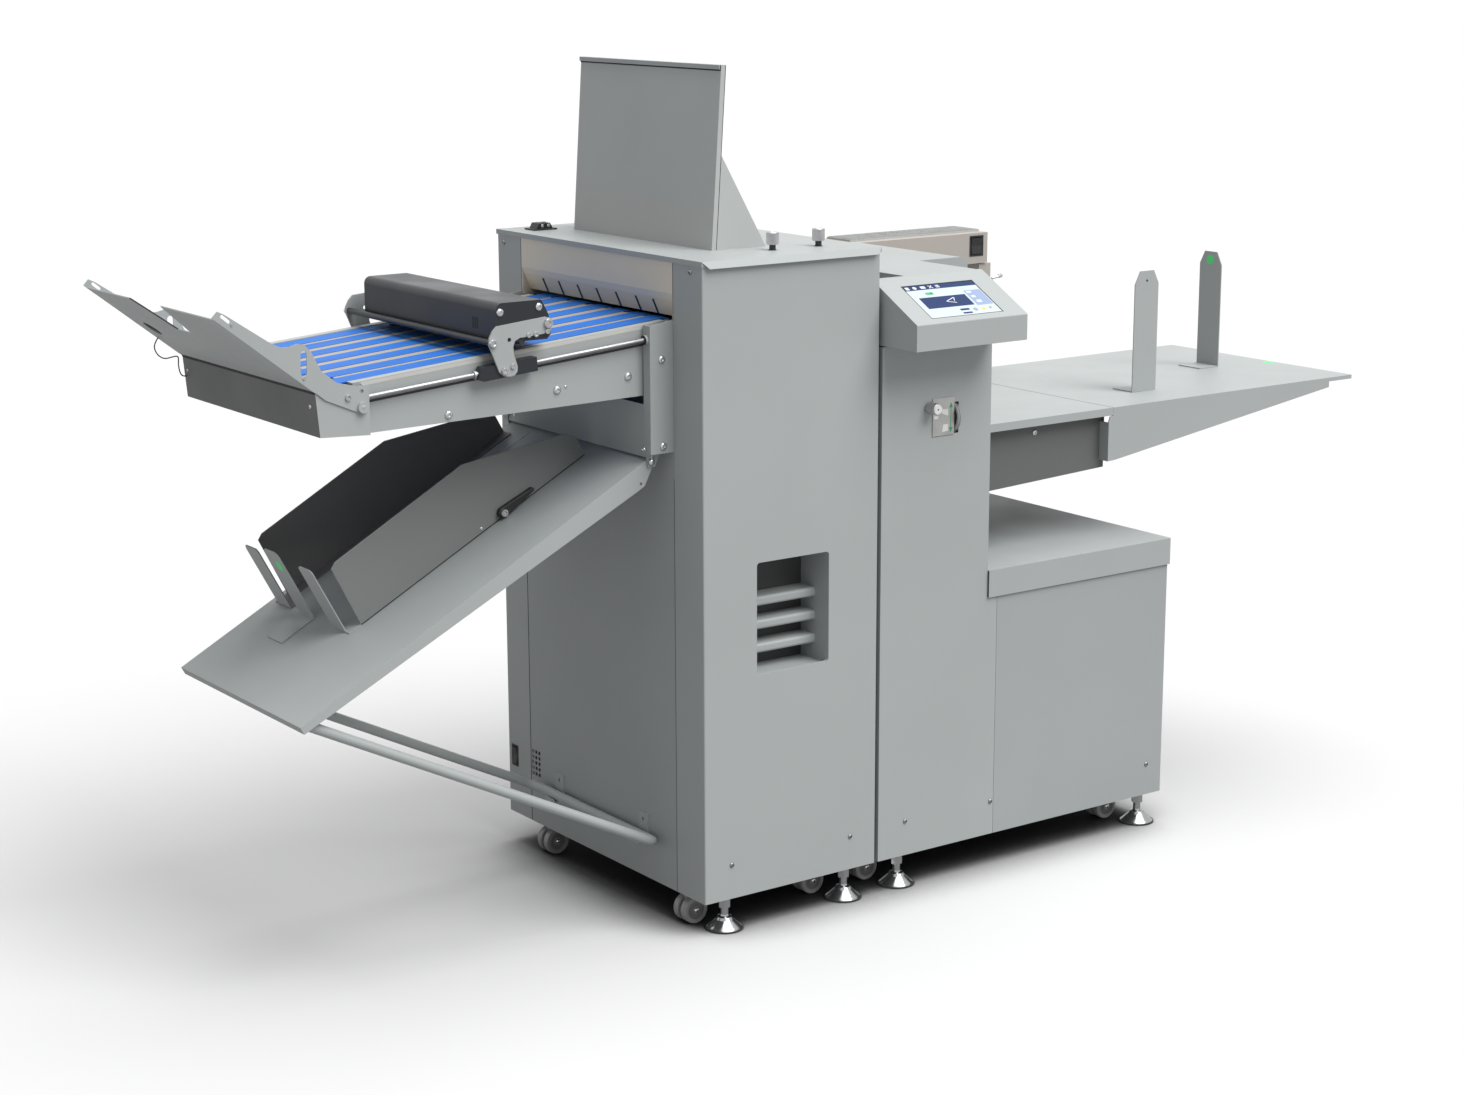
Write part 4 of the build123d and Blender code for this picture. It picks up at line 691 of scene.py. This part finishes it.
fasteners("press_unit_bolts", "cap", [
    (-280.6, 93, 1231, FRONT, 9), (-398, 93, 1203.5, FRONT, 8), (-282, 93, 1216, FRONT, 5),
    (-307, 93, 1213, FRONT, 5.5), (-322.5, 93, 1212.5, FRONT, 5), (-375, 93, 1151, FRONT, 7),
    (-357, 93, 1158, FRONT, 5), (-398, 651, 1203.5, BACK, 8), (-280.6, 651, 1231, BACK, 9),
    (-302, 651, 1252, BACK, 5), (-375, 651, 1151, BACK, 5), (-357, 651, 1158, BACK, 5),
], "press_unit", CHROME, seed=5)
fasteners("press_housing_screws", "button", [
    (-379.5, 97, 1258, FRONT, 7.5), (-297, 97, 1262, FRONT, 7.5), (-379.5, 600, 1258, BACK, 7.5),
    (-297, 600, 1262, BACK, 7.5),
], "press_unit", CHROME, seed=6)
fasteners("sheet_stop_bolts", "cap", both_sides([
    (-693.5, 94.1, 1134, FRONT, 6), (-909, 94, 1281, FRONT, 2.6), (-777, 94, 1176, FRONT, 3),
]), "sheet_stop", CHROME, seed=7)
LEVER_BOSS, LEVER_TIP = (-235.0, 12.0), (-159.0, 14.4)
LEVER_Y = 284.4
fasteners("clamp_bolt", "cap", [
    (*on_slope(TRAY, LEVER_BOSS[0], LEVER_Y, LEVER_BOSS[1]), FRONT, 7.5),
], "tray_guide_near", CHROME, seed=8)
fasteners("near_guide_screw", "button", [(*on_slope(TRAY, -287, 296, 9), FRONT, 3.5)],
          "tray_guide_near", seed=9)
fasteners("table_screws", "button", both_sides([(934.9, 108, 893.2, FRONT, 6.5)]),
          "pile_table", seed=10)
AXLE_HEIGHT = 28
AXLE_ENDS = {f"castor_{unit}_{end}": (x, y)
             for unit, x in (("tower_left", 32.0), ("tower_right", 325.0),
                             ("feeder_left", 465.5), ("feeder_right", 1148.0))
             for end, y in (("front", 98.0), ("rear", 616.0))}
fasteners("castor_axle_ends", "dome", [
    (x, y + side * 21, AXLE_HEIGHT, (0, side, 0), 5.5)
    for x, y in AXLE_ENDS.values() for side in (-1, 1)
], "root", CHROME, seed=12)

# ---------- knobs and the thumb wheel ----------
WHEEL_Y, WHEEL_Z = 21, 974
KNOB_X, KNOB_Z = 552, 1001
for side, (x, y) in COVER_KNOBS.items():
    knurled_grip(f"cover_grip_{side}", (x, y, TOWER_TOP + 23), TOP, 11.9, 24.0, 44,
                 f"cover_knob_{side}")
knurled_grip("adjuster_grip", (KNOB_X, -16.5, KNOB_Z), FRONT, 11.3, 27.4, 36,
             "adjuster_knob")
knurled_grip("adjuster_wheel_rim", (625, WHEEL_Y, WHEEL_Z), RIGHT, 33.4, 8.4, 96,
             "adjuster_wheel", WHEEL_GREY)
# Painted shade on the thumb wheel's left face.
disc_piece("adjuster_wheel_side", (620.7, WHEEL_Y, WHEEL_Z), LEFT, 28.0, 0.15, SHADOW_GAP,
           "adjuster_wheel", steps=48)
disc_piece("adjuster_knob_face", (KNOB_X, -30.1, KNOB_Z), FRONT, 9.6, 0.3, KNOB_FACE,
           "adjuster_knob")
disc_piece("adjuster_knob_dimple", (KNOB_X, -30.35, KNOB_Z), FRONT, 1.7, 0.15, SHADOW_GAP,
           "adjuster_knob", steps=20)
for side, (x, y) in COVER_KNOBS.items():
    lathe_piece(f"cover_stud_{side}", [((x, y, 1332.1), TOP)],
                [(7.5, 0), (7.5, 1.2), (6.3, 1.6), (6.3, 10.6), (AXIS_RADIUS, 10.6)], BLACK,
                f"cover_knob_{side}")

# ---------- switch pod and the frames round inlet and blower switch ----------
POD_FOOT_Y, POD_FRONT_Y = 654.5, 659.5
bevelled(prism_piece("switch_pod_shell", [
    slab(37.5, 93.5, POD_FOOT_Y, POD_FOOT_Y + 40, 1331.8, 1335.2),
    ([(x, POD_FRONT_Y, z) for x, z in ((45.5, 1335), (51.7, 1346.2), (79.3, 1346.2), (85.5, 1335))],
     (0, 29, 0)),
], BLACK, "root"), 1.2)
bevelled(prism_piece("inlet_panel", [
    slab(-1.2, 0.2, y0, y1, z0, z1)
    for y0, y1, z0, z1 in frame_bars(700.5, 726.5, 174.5, 221.5, 3.1)
], BLACK, "root"), 0.4)
bevelled(prism_piece("blower_switch_bezel", [
    slab(x0, x1, 601.8, 603.2, z0, z1)
    for x0, x1, z0, z1 in frame_bars(1171, 1212, 1205, 1252, 3.6)
], BLACK, "root"), 0.4)
lathe_piece("pod_buttons", [((x, POD_FRONT_Y + 0.2, 1340.6), FRONT) for x in (60, 74.5)],
            [(3.6, 0), (3.6, 1.0), (3.0, 1.5), (AXIS_RADIUS, 1.6)], SILVER,
            "root", steps=28)

# ---------- hood, tool rack and side seams ----------
dark_piece("exit_hood_liner", [
    ([(x, 140, z) for x, z in ((20.6, 1217.9), (21.4, 1218.3), (6.8, 1251.9), (6.0, 1251.5))],
     (0, 464, 0)),
])
HOOD_FOLD, HOOD_FOOT = Vector((3, 0, 1250)), Vector((18, 0, 1216.5))


def hood_sheet(high, low, y0, y1, lift):
    """A skin on the hood's sloping face between two shares of its height, lifted clear of it."""
    out = Vector((HOOD_FOOT.z - HOOD_FOLD.z, 0, HOOD_FOLD.x - HOOD_FOOT.x)).normalized()
    top, bottom = (HOOD_FOLD.lerp(HOOD_FOOT, share) + out * lift for share in (high, low))
    near, far = Vector((0, y0, 0)), Vector((0, y1, 0))
    return [top + near, bottom + near, bottom + far, top + far], out * 0.12


# Painted light over the hood's sloping face.
prism_piece("hood_fold_skin", [hood_sheet(0.02, 0.995, 98.2, 645.8, 0.05)], HOOD_FOLD_LIT_COAT,
            "root")
dark_piece("hood_slots", [hood_sheet(0.14, 0.995, middle - 3.6, middle + 3.6, 0.2)
                          for middle in BELT_MIDDLES])
RACK_LEFT, RACK_RIGHT, RACK_BACK, RACK_FLOOR, RACK_TOP = 126.0, 302.0, 92.0, 516.0, 740.0
# Painted shade on the back of the recessed tool rack.
prism_piece("tool_rack_back_skin", [
    slab(RACK_LEFT + 0.1, RACK_RIGHT - 0.1, RACK_BACK - 0.3, RACK_BACK - 0.05,
         RACK_FLOOR - 4.9, RACK_TOP - 0.1),
], RECESS_SHADE_COAT, "root")
SEAM_FOOT = CABINET_FOOT + 1.0
dark_piece("cover_seams", [slab(-0.35, 0.1, y0, y1, z0, z1) for y0, y1, z0, z1 in (
    (96.0, 97.2, 1210, 1329.7), (646.8, 647.9, 1210, 1329.7),
    (96.3, 97.2, SEAM_FOOT, 905), (646.8, 648.6, SEAM_FOOT, 905))])

# ---------- conveyor, its end box and the gate ----------
RAIL_FACES = (123.7, 620.05)
ROD_SIDES, ROD_UNDER_BED = (110, 634), -26.2
DOWN_THE_BED = -CONVEYOR[1]
dark_piece("rod_shadow_strips", [
    slope_sheet(CONVEYOR, box_outline(-597, 8, -39.4, -34.8), y, SKIN) for y in RAIL_FACES])
# Painted light: a pale band along the top of each rail's outer face.
prism_piece("bed_edge_strips", [
    slope_sheet(CONVEYOR, box_outline(-597, 40, -7.6, -0.6), y, SKIN) for y in RAIL_FACES
], RAIL_TOP_LIGHT, "root")
lathe_piece("rod_collars", [
    (on_slope(CONVEYOR, -3.7, y, ROD_UNDER_BED), DOWN_THE_BED) for y in ROD_SIDES
], [(9.3, 0), (9.3, 0.5), (5.2, 0.5)], SHADOW_GAP, "root")
lathe_piece("slide_bushings", [
    (on_slope(CONVEYOR, -372.8, y, ROD_UNDER_BED), DOWN_THE_BED) for y in ROD_SIDES
], [(8.2, 0), (8.2, 3.4), (7.6, 4.0), (5.4, 4.0)], SILVER, "press_unit")
dark_piece("housing_vents", [
    ([(-388.3, v, z) for v, z in box_outline(y, y + 4.5, 1222, 1243)], (0.35, 0, 0))
    for y in (162, 169.5, 177)
], "press_unit")
# Painted shadow lines along the near edge of each belt.
dark_piece("belt_gaps", [
    slope_plate(CONVEYOR, box_outline(-600, 55, middle - 24.4, middle - 22.6), -0.36, 0.3)
    for middle in BELT_MIDDLES])
END_BOX_SIDE, END_BOX_RUN = 97.2, (0, 549.6, 0)
# Painted shade over the end box's outer plate, under the gate.
prism_piece("end_plate_skin", [
    ([(x, END_BOX_SIDE, z) for x, z in (
        (-748.55, 1067.2), (-755.38, 1144.8), (-755.62, 1144.8), (-748.8, 1067.2))],
     END_BOX_RUN),
], PAINTED_DEEP_SHADE, "root")
# The gate's face as a slope: its hinge, along the face and out of it.
GATE = (Vector((-760.5, 0, 1150.4)), Vector((-0.7878, 0, 0.6160)), Vector((0.6160, 0, 0.7878)))
dark_piece("gate_eye_backing", [
    slope_plate(GATE, disc_outline(100.6, 586, 22, 28), 2.05, 0.3)], "sheet_stop")
prism_piece("gate_notch_lip", [
    slope_plate(GATE, [(134, 413), (134, 428), (160, 446), (192, 458), (228, 465), (228, 448),
                       (199, 437), (143, 417)], 0.02, 1.96),
], COVER, "sheet_stop")
dark_piece("gate_notch_edge", [
    slope_plate(GATE, [(134, 411.5), (134, 414), (143, 418.5), (199, 438.5), (228, 449.5),
                       (228, 446), (199, 434.5), (143, 415)], -0.3, 2.2),
], "sheet_stop")
dark_piece("end_plate_shadow", [
    ([(x, END_BOX_SIDE, z) for x, z in (
        (-755.5, 1143.6), (-758.3, 1149.5), (-757.8, 1149.8), (-755.0, 1143.9))],
     END_BOX_RUN),
])

# ---------- table, tray guides and clamp lever ----------
dark_piece("table_seam", [
    slab(1136.0, 1137.5, 80.4, 663.6, TABLE_TOP + 0.02, TABLE_TOP + 0.14)], "pile_table")
prism_piece("far_finger_skin", [
    ([on_slope(TRAY, -620.05, y, h) for y, h in (
        (537, 2.4), (593, 2.4), (593, 135), (590, 142), (583, 145), (547, 145), (540, 142),
        (537, 135))], -TRAY[1] * SKIN),
], COVER, "tray_guide_far")
# Painted shade over the near guide's face, under the conveyor.
prism_piece("near_guide_skin", [
    slope_sheet(TRAY, [(-591, 2.6), (-588, 130), (-575, 137), (-261, 142), (-40, 63), (-23, 45),
                       (-22, 2.6)], 295.65, SKIN),
], SHADED_COAT, "tray_guide_near")
# A painted shadow line where the near guide meets the tray.
dark_piece("near_guide_foot_line", [
    slope_sheet(TRAY, box_outline(-591, -22, 0.4, 2.6), 295.6, 0.3)], "tray_guide_near")


def lever_outline(boss_radius, tip_radius, steps=14):
    """A teardrop round the boss and the tip, in the tray's (along, above)."""
    lean = math.atan2(LEVER_TIP[1] - LEVER_BOSS[1], LEVER_TIP[0] - LEVER_BOSS[0])
    points = []
    for (s, n), radius, first in ((LEVER_TIP, tip_radius, -0.5), (LEVER_BOSS, boss_radius, 0.5)):
        for k in range(steps + 1):
            angle = lean + math.pi * (first + k / steps)
            points.append((s + radius * math.cos(angle), n + radius * math.sin(angle)))
    return points


lever_grip = bevelled(prism_piece("clamp_lever_grip", [
    slope_sheet(TRAY, lever_outline(10.5, 3.6), LEVER_Y, 11.2),
], BLACK, "clamp_lever"), 1.0)
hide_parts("clamp_lever")
disc_piece("side_guide_hole", (1340.5, 200.05, 1177.3), BACK, 3.3, 0.2, SHADOW_GAP,
           "pile_side_guide", steps=20)

# ---------- guide plate, table's flanks, grille and feet ----------
GUIDE_TOP = 1683.0
GUIDE_LEAN = 24.0 / (GUIDE_TOP - TOWER_TOP)
HEM_X = 147.0
# A painted shadow line along the guide plate's near flange.
dark_piece("guide_plate_edge", [
    ([(x + GUIDE_LEAN * (z - TOWER_TOP), 142.2, z)
      for x, z in box_outline(133.1, 134.3, 1332.2, 1682.8)], (0, 2.4, 0)),
])
# Painted shade on both recessed faces of the box under the table.
prism_piece("under_table_skin", [
    ([(x, y, z) for x, z in ((720.6, 777.3), (1136.4, 796.5), (1136.4, 910.5), (720.6, 910.5))],
     (0, SKIN, 0)) for y in (107.7, 636.05)
], PAINTED_DEEP_SHADE, "pile_table")
prism_piece("guide_plate_hem", [
    ([(HEM_X + u, 142.5, GUIDE_TOP + v) for u, v in (
        (-4.5, -8), (-4.5, 0.3), (10, 0.3), (10, 0.05), (-3, 0.05), (-3, -8))], (0, 494.5, 0)),
], COVER, "root")
dark_piece("guide_plate_hem_shadow", [
    ([(HEM_X + u, 143, GUIDE_TOP + v) for u, v in (
        (-1.2, -11), (-0.6, -1), (-3, -1), (-3, -7), (-1.5, -11))], (0, 493.5, 0)),
])
dark_piece("grille_backing", [slab(2.2, 2.6, 606, 648, 168, 234)])
lathe_piece("foot_rings", [((x, 25, 0.6), TOP) for x in (63.5, 362, 502, 1189.5)],
            [(37.9, 0), (37.9, 2.6), (36.8, 3.2), (33.5, 3.2)], SHADOW_GAP,
            "root", steps=48)
# Darker discs at the bottom of each wheel's dish turn with their pair of wheels.
for unit, (x, y) in AXLE_ENDS.items():
    lathe_piece(f"{unit}_hubs", [
        ((x, y + side * 17.5, AXLE_HEIGHT), (0, side, 0)) for side in (-1, 1)
    ], [(18.8, 0), (18.8, 0.4), (8.1, 0.4)], CASTOR_HUB, unit, steps=28)

# ---------- touch screen ----------
# (y, z) at both ends of the console's slope, and where the glass has its middle on it.
CONSOLE_LOW, CONSOLE_HIGH = (-105, 1188), (35, 1263)
SCREEN_X, SCREEN_Y = 574.0, -41.5
GLASS_DEPTH = 0.5
SCREEN_ANGLE = math.atan2(CONSOLE_HIGH[1] - CONSOLE_LOW[1], CONSOLE_HIGH[0] - CONSOLE_LOW[0])
SCREEN_Z = CONSOLE_LOW[1] + (SCREEN_Y - CONSOLE_LOW[0]) * math.tan(SCREEN_ANGLE)
SCREEN_MIDDLE = Vector((SCREEN_X, SCREEN_Y, SCREEN_Z))
SCREEN_UP = Vector((0, math.cos(SCREEN_ANGLE), math.sin(SCREEN_ANGLE)))
SCREEN_OUT = Vector((0, -math.sin(SCREEN_ANGLE), math.cos(SCREEN_ANGLE)))
PAGE_LIFT, PANEL_LIFT, MARK_LIFT, INK_THICK = 0.10, 0.20, 0.30, 0.05
NAVY = screen_ink("screen_navy", (0.010, 0.030, 0.11))
PAGE = screen_ink("screen_page", (0.52, 0.59, 0.63))
PALE_BLUE = screen_ink("screen_pale_blue", (0.27, 0.34, 0.50))
PANEL_WHITE = screen_ink("screen_white", (0.62, 0.65, 0.68))
SCREEN_GREEN = screen_ink("screen_green", (0.08, 0.42, 0.17))
SCREEN_YELLOW = screen_ink("screen_yellow", (0.80, 0.55, 0.05))
SCREEN_GREY = screen_ink("screen_grey", (0.30, 0.33, 0.38))


def on_screen(u, v, lift):
    """u to the right and v up the glass, in millimetres from its middle."""
    return SCREEN_MIDDLE + Vector((u, 0, 0)) + SCREEN_UP * v + SCREEN_OUT * (lift - GLASS_DEPTH)


def screen_shapes(name, outlines, lift, finish):
    """Flat patches of the generic page, each a thin raised plate over the glass."""
    return prism_piece(name, [
        ([on_screen(u, v, lift - INK_THICK) for u, v in outline], SCREEN_OUT * INK_THICK)
        for outline in outlines], finish, "root")


screen_shapes("screen_page_field", [box_outline(-90, 90, -54, 54)], PAGE_LIFT, PAGE)
screen_shapes("screen_top_bar", [box_outline(-90, 90, 39, 54)], PANEL_LIFT, NAVY)
screen_shapes("screen_main_panel", [box_outline(-76, 41, -24, 13)], PANEL_LIFT, NAVY)
screen_shapes("screen_small_buttons", [
    box_outline(-5, 18, -39, -33), box_outline(-5, 18, -50, -45),
], PANEL_LIFT, NAVY)
screen_shapes("screen_side_panel", [box_outline(46, 88, -27, 24)], PANEL_LIFT, PALE_BLUE)
screen_shapes("screen_bar_icons", [
    box_outline(-86, -77, 42, 51), disc_outline(-63, 46.5, 4.6), box_outline(-48, -36, 42.5, 50.5),
    line_outline((-27, 42), (-18, 51), 2.2), line_outline((-27, 51), (-18, 42), 2.2),
    box_outline(-9, 0, 42.5, 44.6), box_outline(-9, 0, 45.6, 47.7), box_outline(-9, 0, 48.7, 50.8),
], MARK_LIFT, PANEL_WHITE)
screen_shapes("screen_fold_sketch", [
    line_outline((-18, -5), (8, 6), 2), line_outline((-18, -5), (4, -12), 2),
    line_outline((8, 6), (2, -6), 2),
], MARK_LIFT, PANEL_WHITE)
screen_shapes("screen_toggle", [box_outline(-50, -34, 21, 29), disc_outline(-34, 25, 4)],
              MARK_LIFT, SCREEN_GREEN)
screen_shapes("screen_fields", [
    box_outline(50, 62, 15, 21), box_outline(52, 62, -1, 6), box_outline(54, 66, -18, -10),
], MARK_LIFT, PANEL_WHITE)
screen_shapes("screen_go_mark", [disc_outline(53, -39, 4)], MARK_LIFT, SCREEN_YELLOW)
screen_shapes("screen_grey_marks", [disc_outline(32, -39, 5.4), disc_outline(71, -38, 3.6)],
              MARK_LIFT, SCREEN_GREY)
prism_piece("screen_gasket", [
    ([on_screen(u, v, 0.3) for u, v in box_outline(u0, u1, v0, v1)], SCREEN_OUT * 0.4)
    for v0, v1, u0, u1 in frame_bars(-56, 56, -92, 92, 1.4)
], BLACK, "root")

# ---------- printed marks ----------
MARK_GAP, MARK_THICK = 0.05, 0.12
MARK_DISC = disc_outline(0, 0, 12, 28)


def flat_marks(name, outlines, origin, across, up, out, finish, body):
    """Thin plates of ink on a flat face: outlines in (across, up) millimetres from origin."""
    origin, across, up, out = (Vector(v) for v in (origin, across, up, out))
    return prism_piece(name, [
        ([origin + across * u + up * v + out * MARK_GAP for u, v in outline], out * MARK_THICK)
        for outline in outlines], finish, body)


flat_marks("adjuster_arrow", [
    [(-4.6, 20), (0, 31), (4.6, 20)], [(-4.6, -20), (4.6, -20), (0, -31)],
    box_outline(-0.9, 0.9, -20, 20),
], (608.5, -2.5, 976), RIGHT, TOP, FRONT, ARROW_INK, "root")
flat_marks("adjuster_label_fields", [
    [(-12.7, 20.2), (-12.3, 11), (4.3, 4.8), (3.9, 18.7)],
    [(-33, 7), (-33, 1.5), (-21.9, 0.8), (-21.8, 7)],
    [(-11.3, -27), (-8.5, -11.8), (4.2, -11.5), (4.2, -25.7)],
], (597, -2.5, 975), RIGHT, TOP, FRONT, LABEL_INK, "root")
flat_marks("tail_stop_dot", [disc_outline(1.5, 0, 11, 28)], (1724.7, 380.5, 1180), BACK, TOP, LEFT,
           GREEN_INK, "pile_tail_stop")
flat_marks("table_mark", [MARK_DISC], (1873, 325, TABLE_TOP), RIGHT, BACK, TOP,
           GREEN_INK, "pile_table")
flat_marks("end_stop_dot", [MARK_DISC], on_slope(TRAY, -620, 462, 122.5), BACK, TRAY[2], -TRAY[1],
           GREEN_INK, "tray_end_stop")

# ---------- blower's ribbed strip and the small lever beside its post ----------
STRIP_TOP = 1262.2
prism_piece("blower_ribbed_strip", [
    slab(845.6, 1223.4, 631.6, 716.4, 1258.2, STRIP_TOP),
    *[slab(x, x + 2.2, 632, 716, STRIP_TOP, STRIP_TOP + 1.2) for x in range(850, 1220, 6)],
], RIBBED_STRIP, "root")
lathe_piece("post_lever", [((1241, 603, 1150), (1, 0, 0.17))],
            [(3, 0), (3, 18), (4.6, 20), (4.6, 28), (3.4, 30), (AXIS_RADIUS, 30)], CHROME,
            "root", steps=20)

# ---------- floor, light and background ----------
FLOOR_RADIUS = 120
# How far round a point of the floor things count as over it, the shares of open sky that count
# as deep shade and as fully open, and the least share that is ever given back.
SHADE_REACH, SHADE_DEEP, SHADE_OPEN, SHADE_LEAST = 0.22, 0.31, 0.80, 0.02
DEEP_SHADE, BOUNCE = (0.004, 0.004, 0.004, 1), (0.34, 0.34, 0.34, 1)
WHITE = (1, 1, 1, 1)
SKY_LIGHT, SKY_SEEN = 0.4, 1.0
# Name: energy, direction towards the sun, its size in degrees.
SUNS = {
    "overhead_key": (1.7, (0.12, 0.0, 0.99), 46),
    "front_sun": (2.9, (0.20, -0.60, 0.77), 42),
}


def contact_shade(paint):
    """How open the floor is to the sky: SHADE_LEAST deep under the machine, 1 in the open."""
    near = paint.nodes.new("ShaderNodeAmbientOcclusion")
    near.inputs["Distance"].default_value = SHADE_REACH
    near.samples = 12
    remap = paint.nodes.new("ShaderNodeMapRange")
    remap.inputs["From Min"].default_value = SHADE_DEEP
    remap.inputs["From Max"].default_value = SHADE_OPEN
    remap.inputs["To Min"].default_value = SHADE_LEAST
    paint.links.new(near.outputs["AO"], remap.inputs["Value"])
    return remap.outputs["Result"]


def darker_bounce(paint):
    """Floor colour darkened by painted contact shade for the camera, a darker one for the light
    that it throws back.
    """
    rays = paint.nodes.new("ShaderNodeLightPath")
    shaded = paint.nodes.new("ShaderNodeMix")
    pick = paint.nodes.new("ShaderNodeMix")
    shaded.data_type = pick.data_type = "RGBA"
    shaded.inputs["A"].default_value = DEEP_SHADE
    pick.inputs["A"].default_value = BOUNCE
    full_colour = paint.shader.inputs["Base Color"].links[0].from_socket
    paint.links.new(contact_shade(paint), shaded.inputs["Factor"])
    paint.links.new(full_colour, shaded.inputs["B"])
    paint.links.new(rays.outputs["Is Camera Ray"], pick.inputs["Factor"])
    paint.links.new(shaded.outputs["Result"], pick.inputs["B"])
    paint.links.new(pick.outputs["Result"], paint.shader.inputs["Base Color"])


def studio_floor():
    """A wide pale disc under the machine."""
    work = bmesh.new()
    bmesh.ops.create_circle(work, cap_ends=True, segments=96, radius=FLOOR_RADIUS)
    floor = in_scene("floor", mesh_from(work, "floor"))
    paint = Finish("floor_paint", (0.62, 0.62, 0.62), 0.9, Specular_IOR_Level=0.1)
    paint.mottle(paint.noise(0.5, 2), 0.004)
    darker_bounce(paint)
    floor.data.materials.append(paint.material)


def sun_lights():
    """Wide, soft suns."""
    for name, (energy, towards, size) in SUNS.items():
        data = bpy.data.lights.new(name, "SUN")
        data.energy = energy
        data.angle = math.radians(size)
        lamp = in_scene(name, data)
        lamp.rotation_mode = "QUATERNION"
        lamp.rotation_quaternion = Vector(towards).to_track_quat("Z", "Y")


def white_background(scene):
    """White to the camera, in mirrors and through glass; a softer white as a light."""
    scene.world = bpy.data.worlds.new("studio")
    scene.world.use_nodes = True
    nodes, links = scene.world.node_tree.nodes, scene.world.node_tree.links
    nodes.clear()
    rays = nodes.new("ShaderNodeLightPath")
    seen_or_mirrored, seen = nodes.new("ShaderNodeMath"), nodes.new("ShaderNodeMath")
    seen_or_mirrored.operation = seen.operation = "MAXIMUM"
    light, shown = nodes.new("ShaderNodeBackground"), nodes.new("ShaderNodeBackground")
    for background, strength in ((light, SKY_LIGHT), (shown, SKY_SEEN)):
        background.inputs["Color"].default_value = WHITE
        background.inputs["Strength"].default_value = strength
    mix = nodes.new("ShaderNodeMixShader")
    output = nodes.new("ShaderNodeOutputWorld")
    links.new(rays.outputs["Is Camera Ray"], seen_or_mirrored.inputs[0])
    links.new(rays.outputs["Is Glossy Ray"], seen_or_mirrored.inputs[1])
    links.new(seen_or_mirrored.outputs[0], seen.inputs[0])
    links.new(rays.outputs["Is Transmission Ray"], seen.inputs[1])
    links.new(seen.outputs[0], mix.inputs[0])
    links.new(light.outputs[0], mix.inputs[1])
    links.new(shown.outputs[0], mix.inputs[2])
    links.new(mix.outputs[0], output.inputs[0])


studio_floor()
sun_lights()
white_background(bpy.context.scene)
bpy.context.scene.view_settings.view_transform = "Standard"
for head in HEADS.values():
    bpy.data.objects.remove(head)
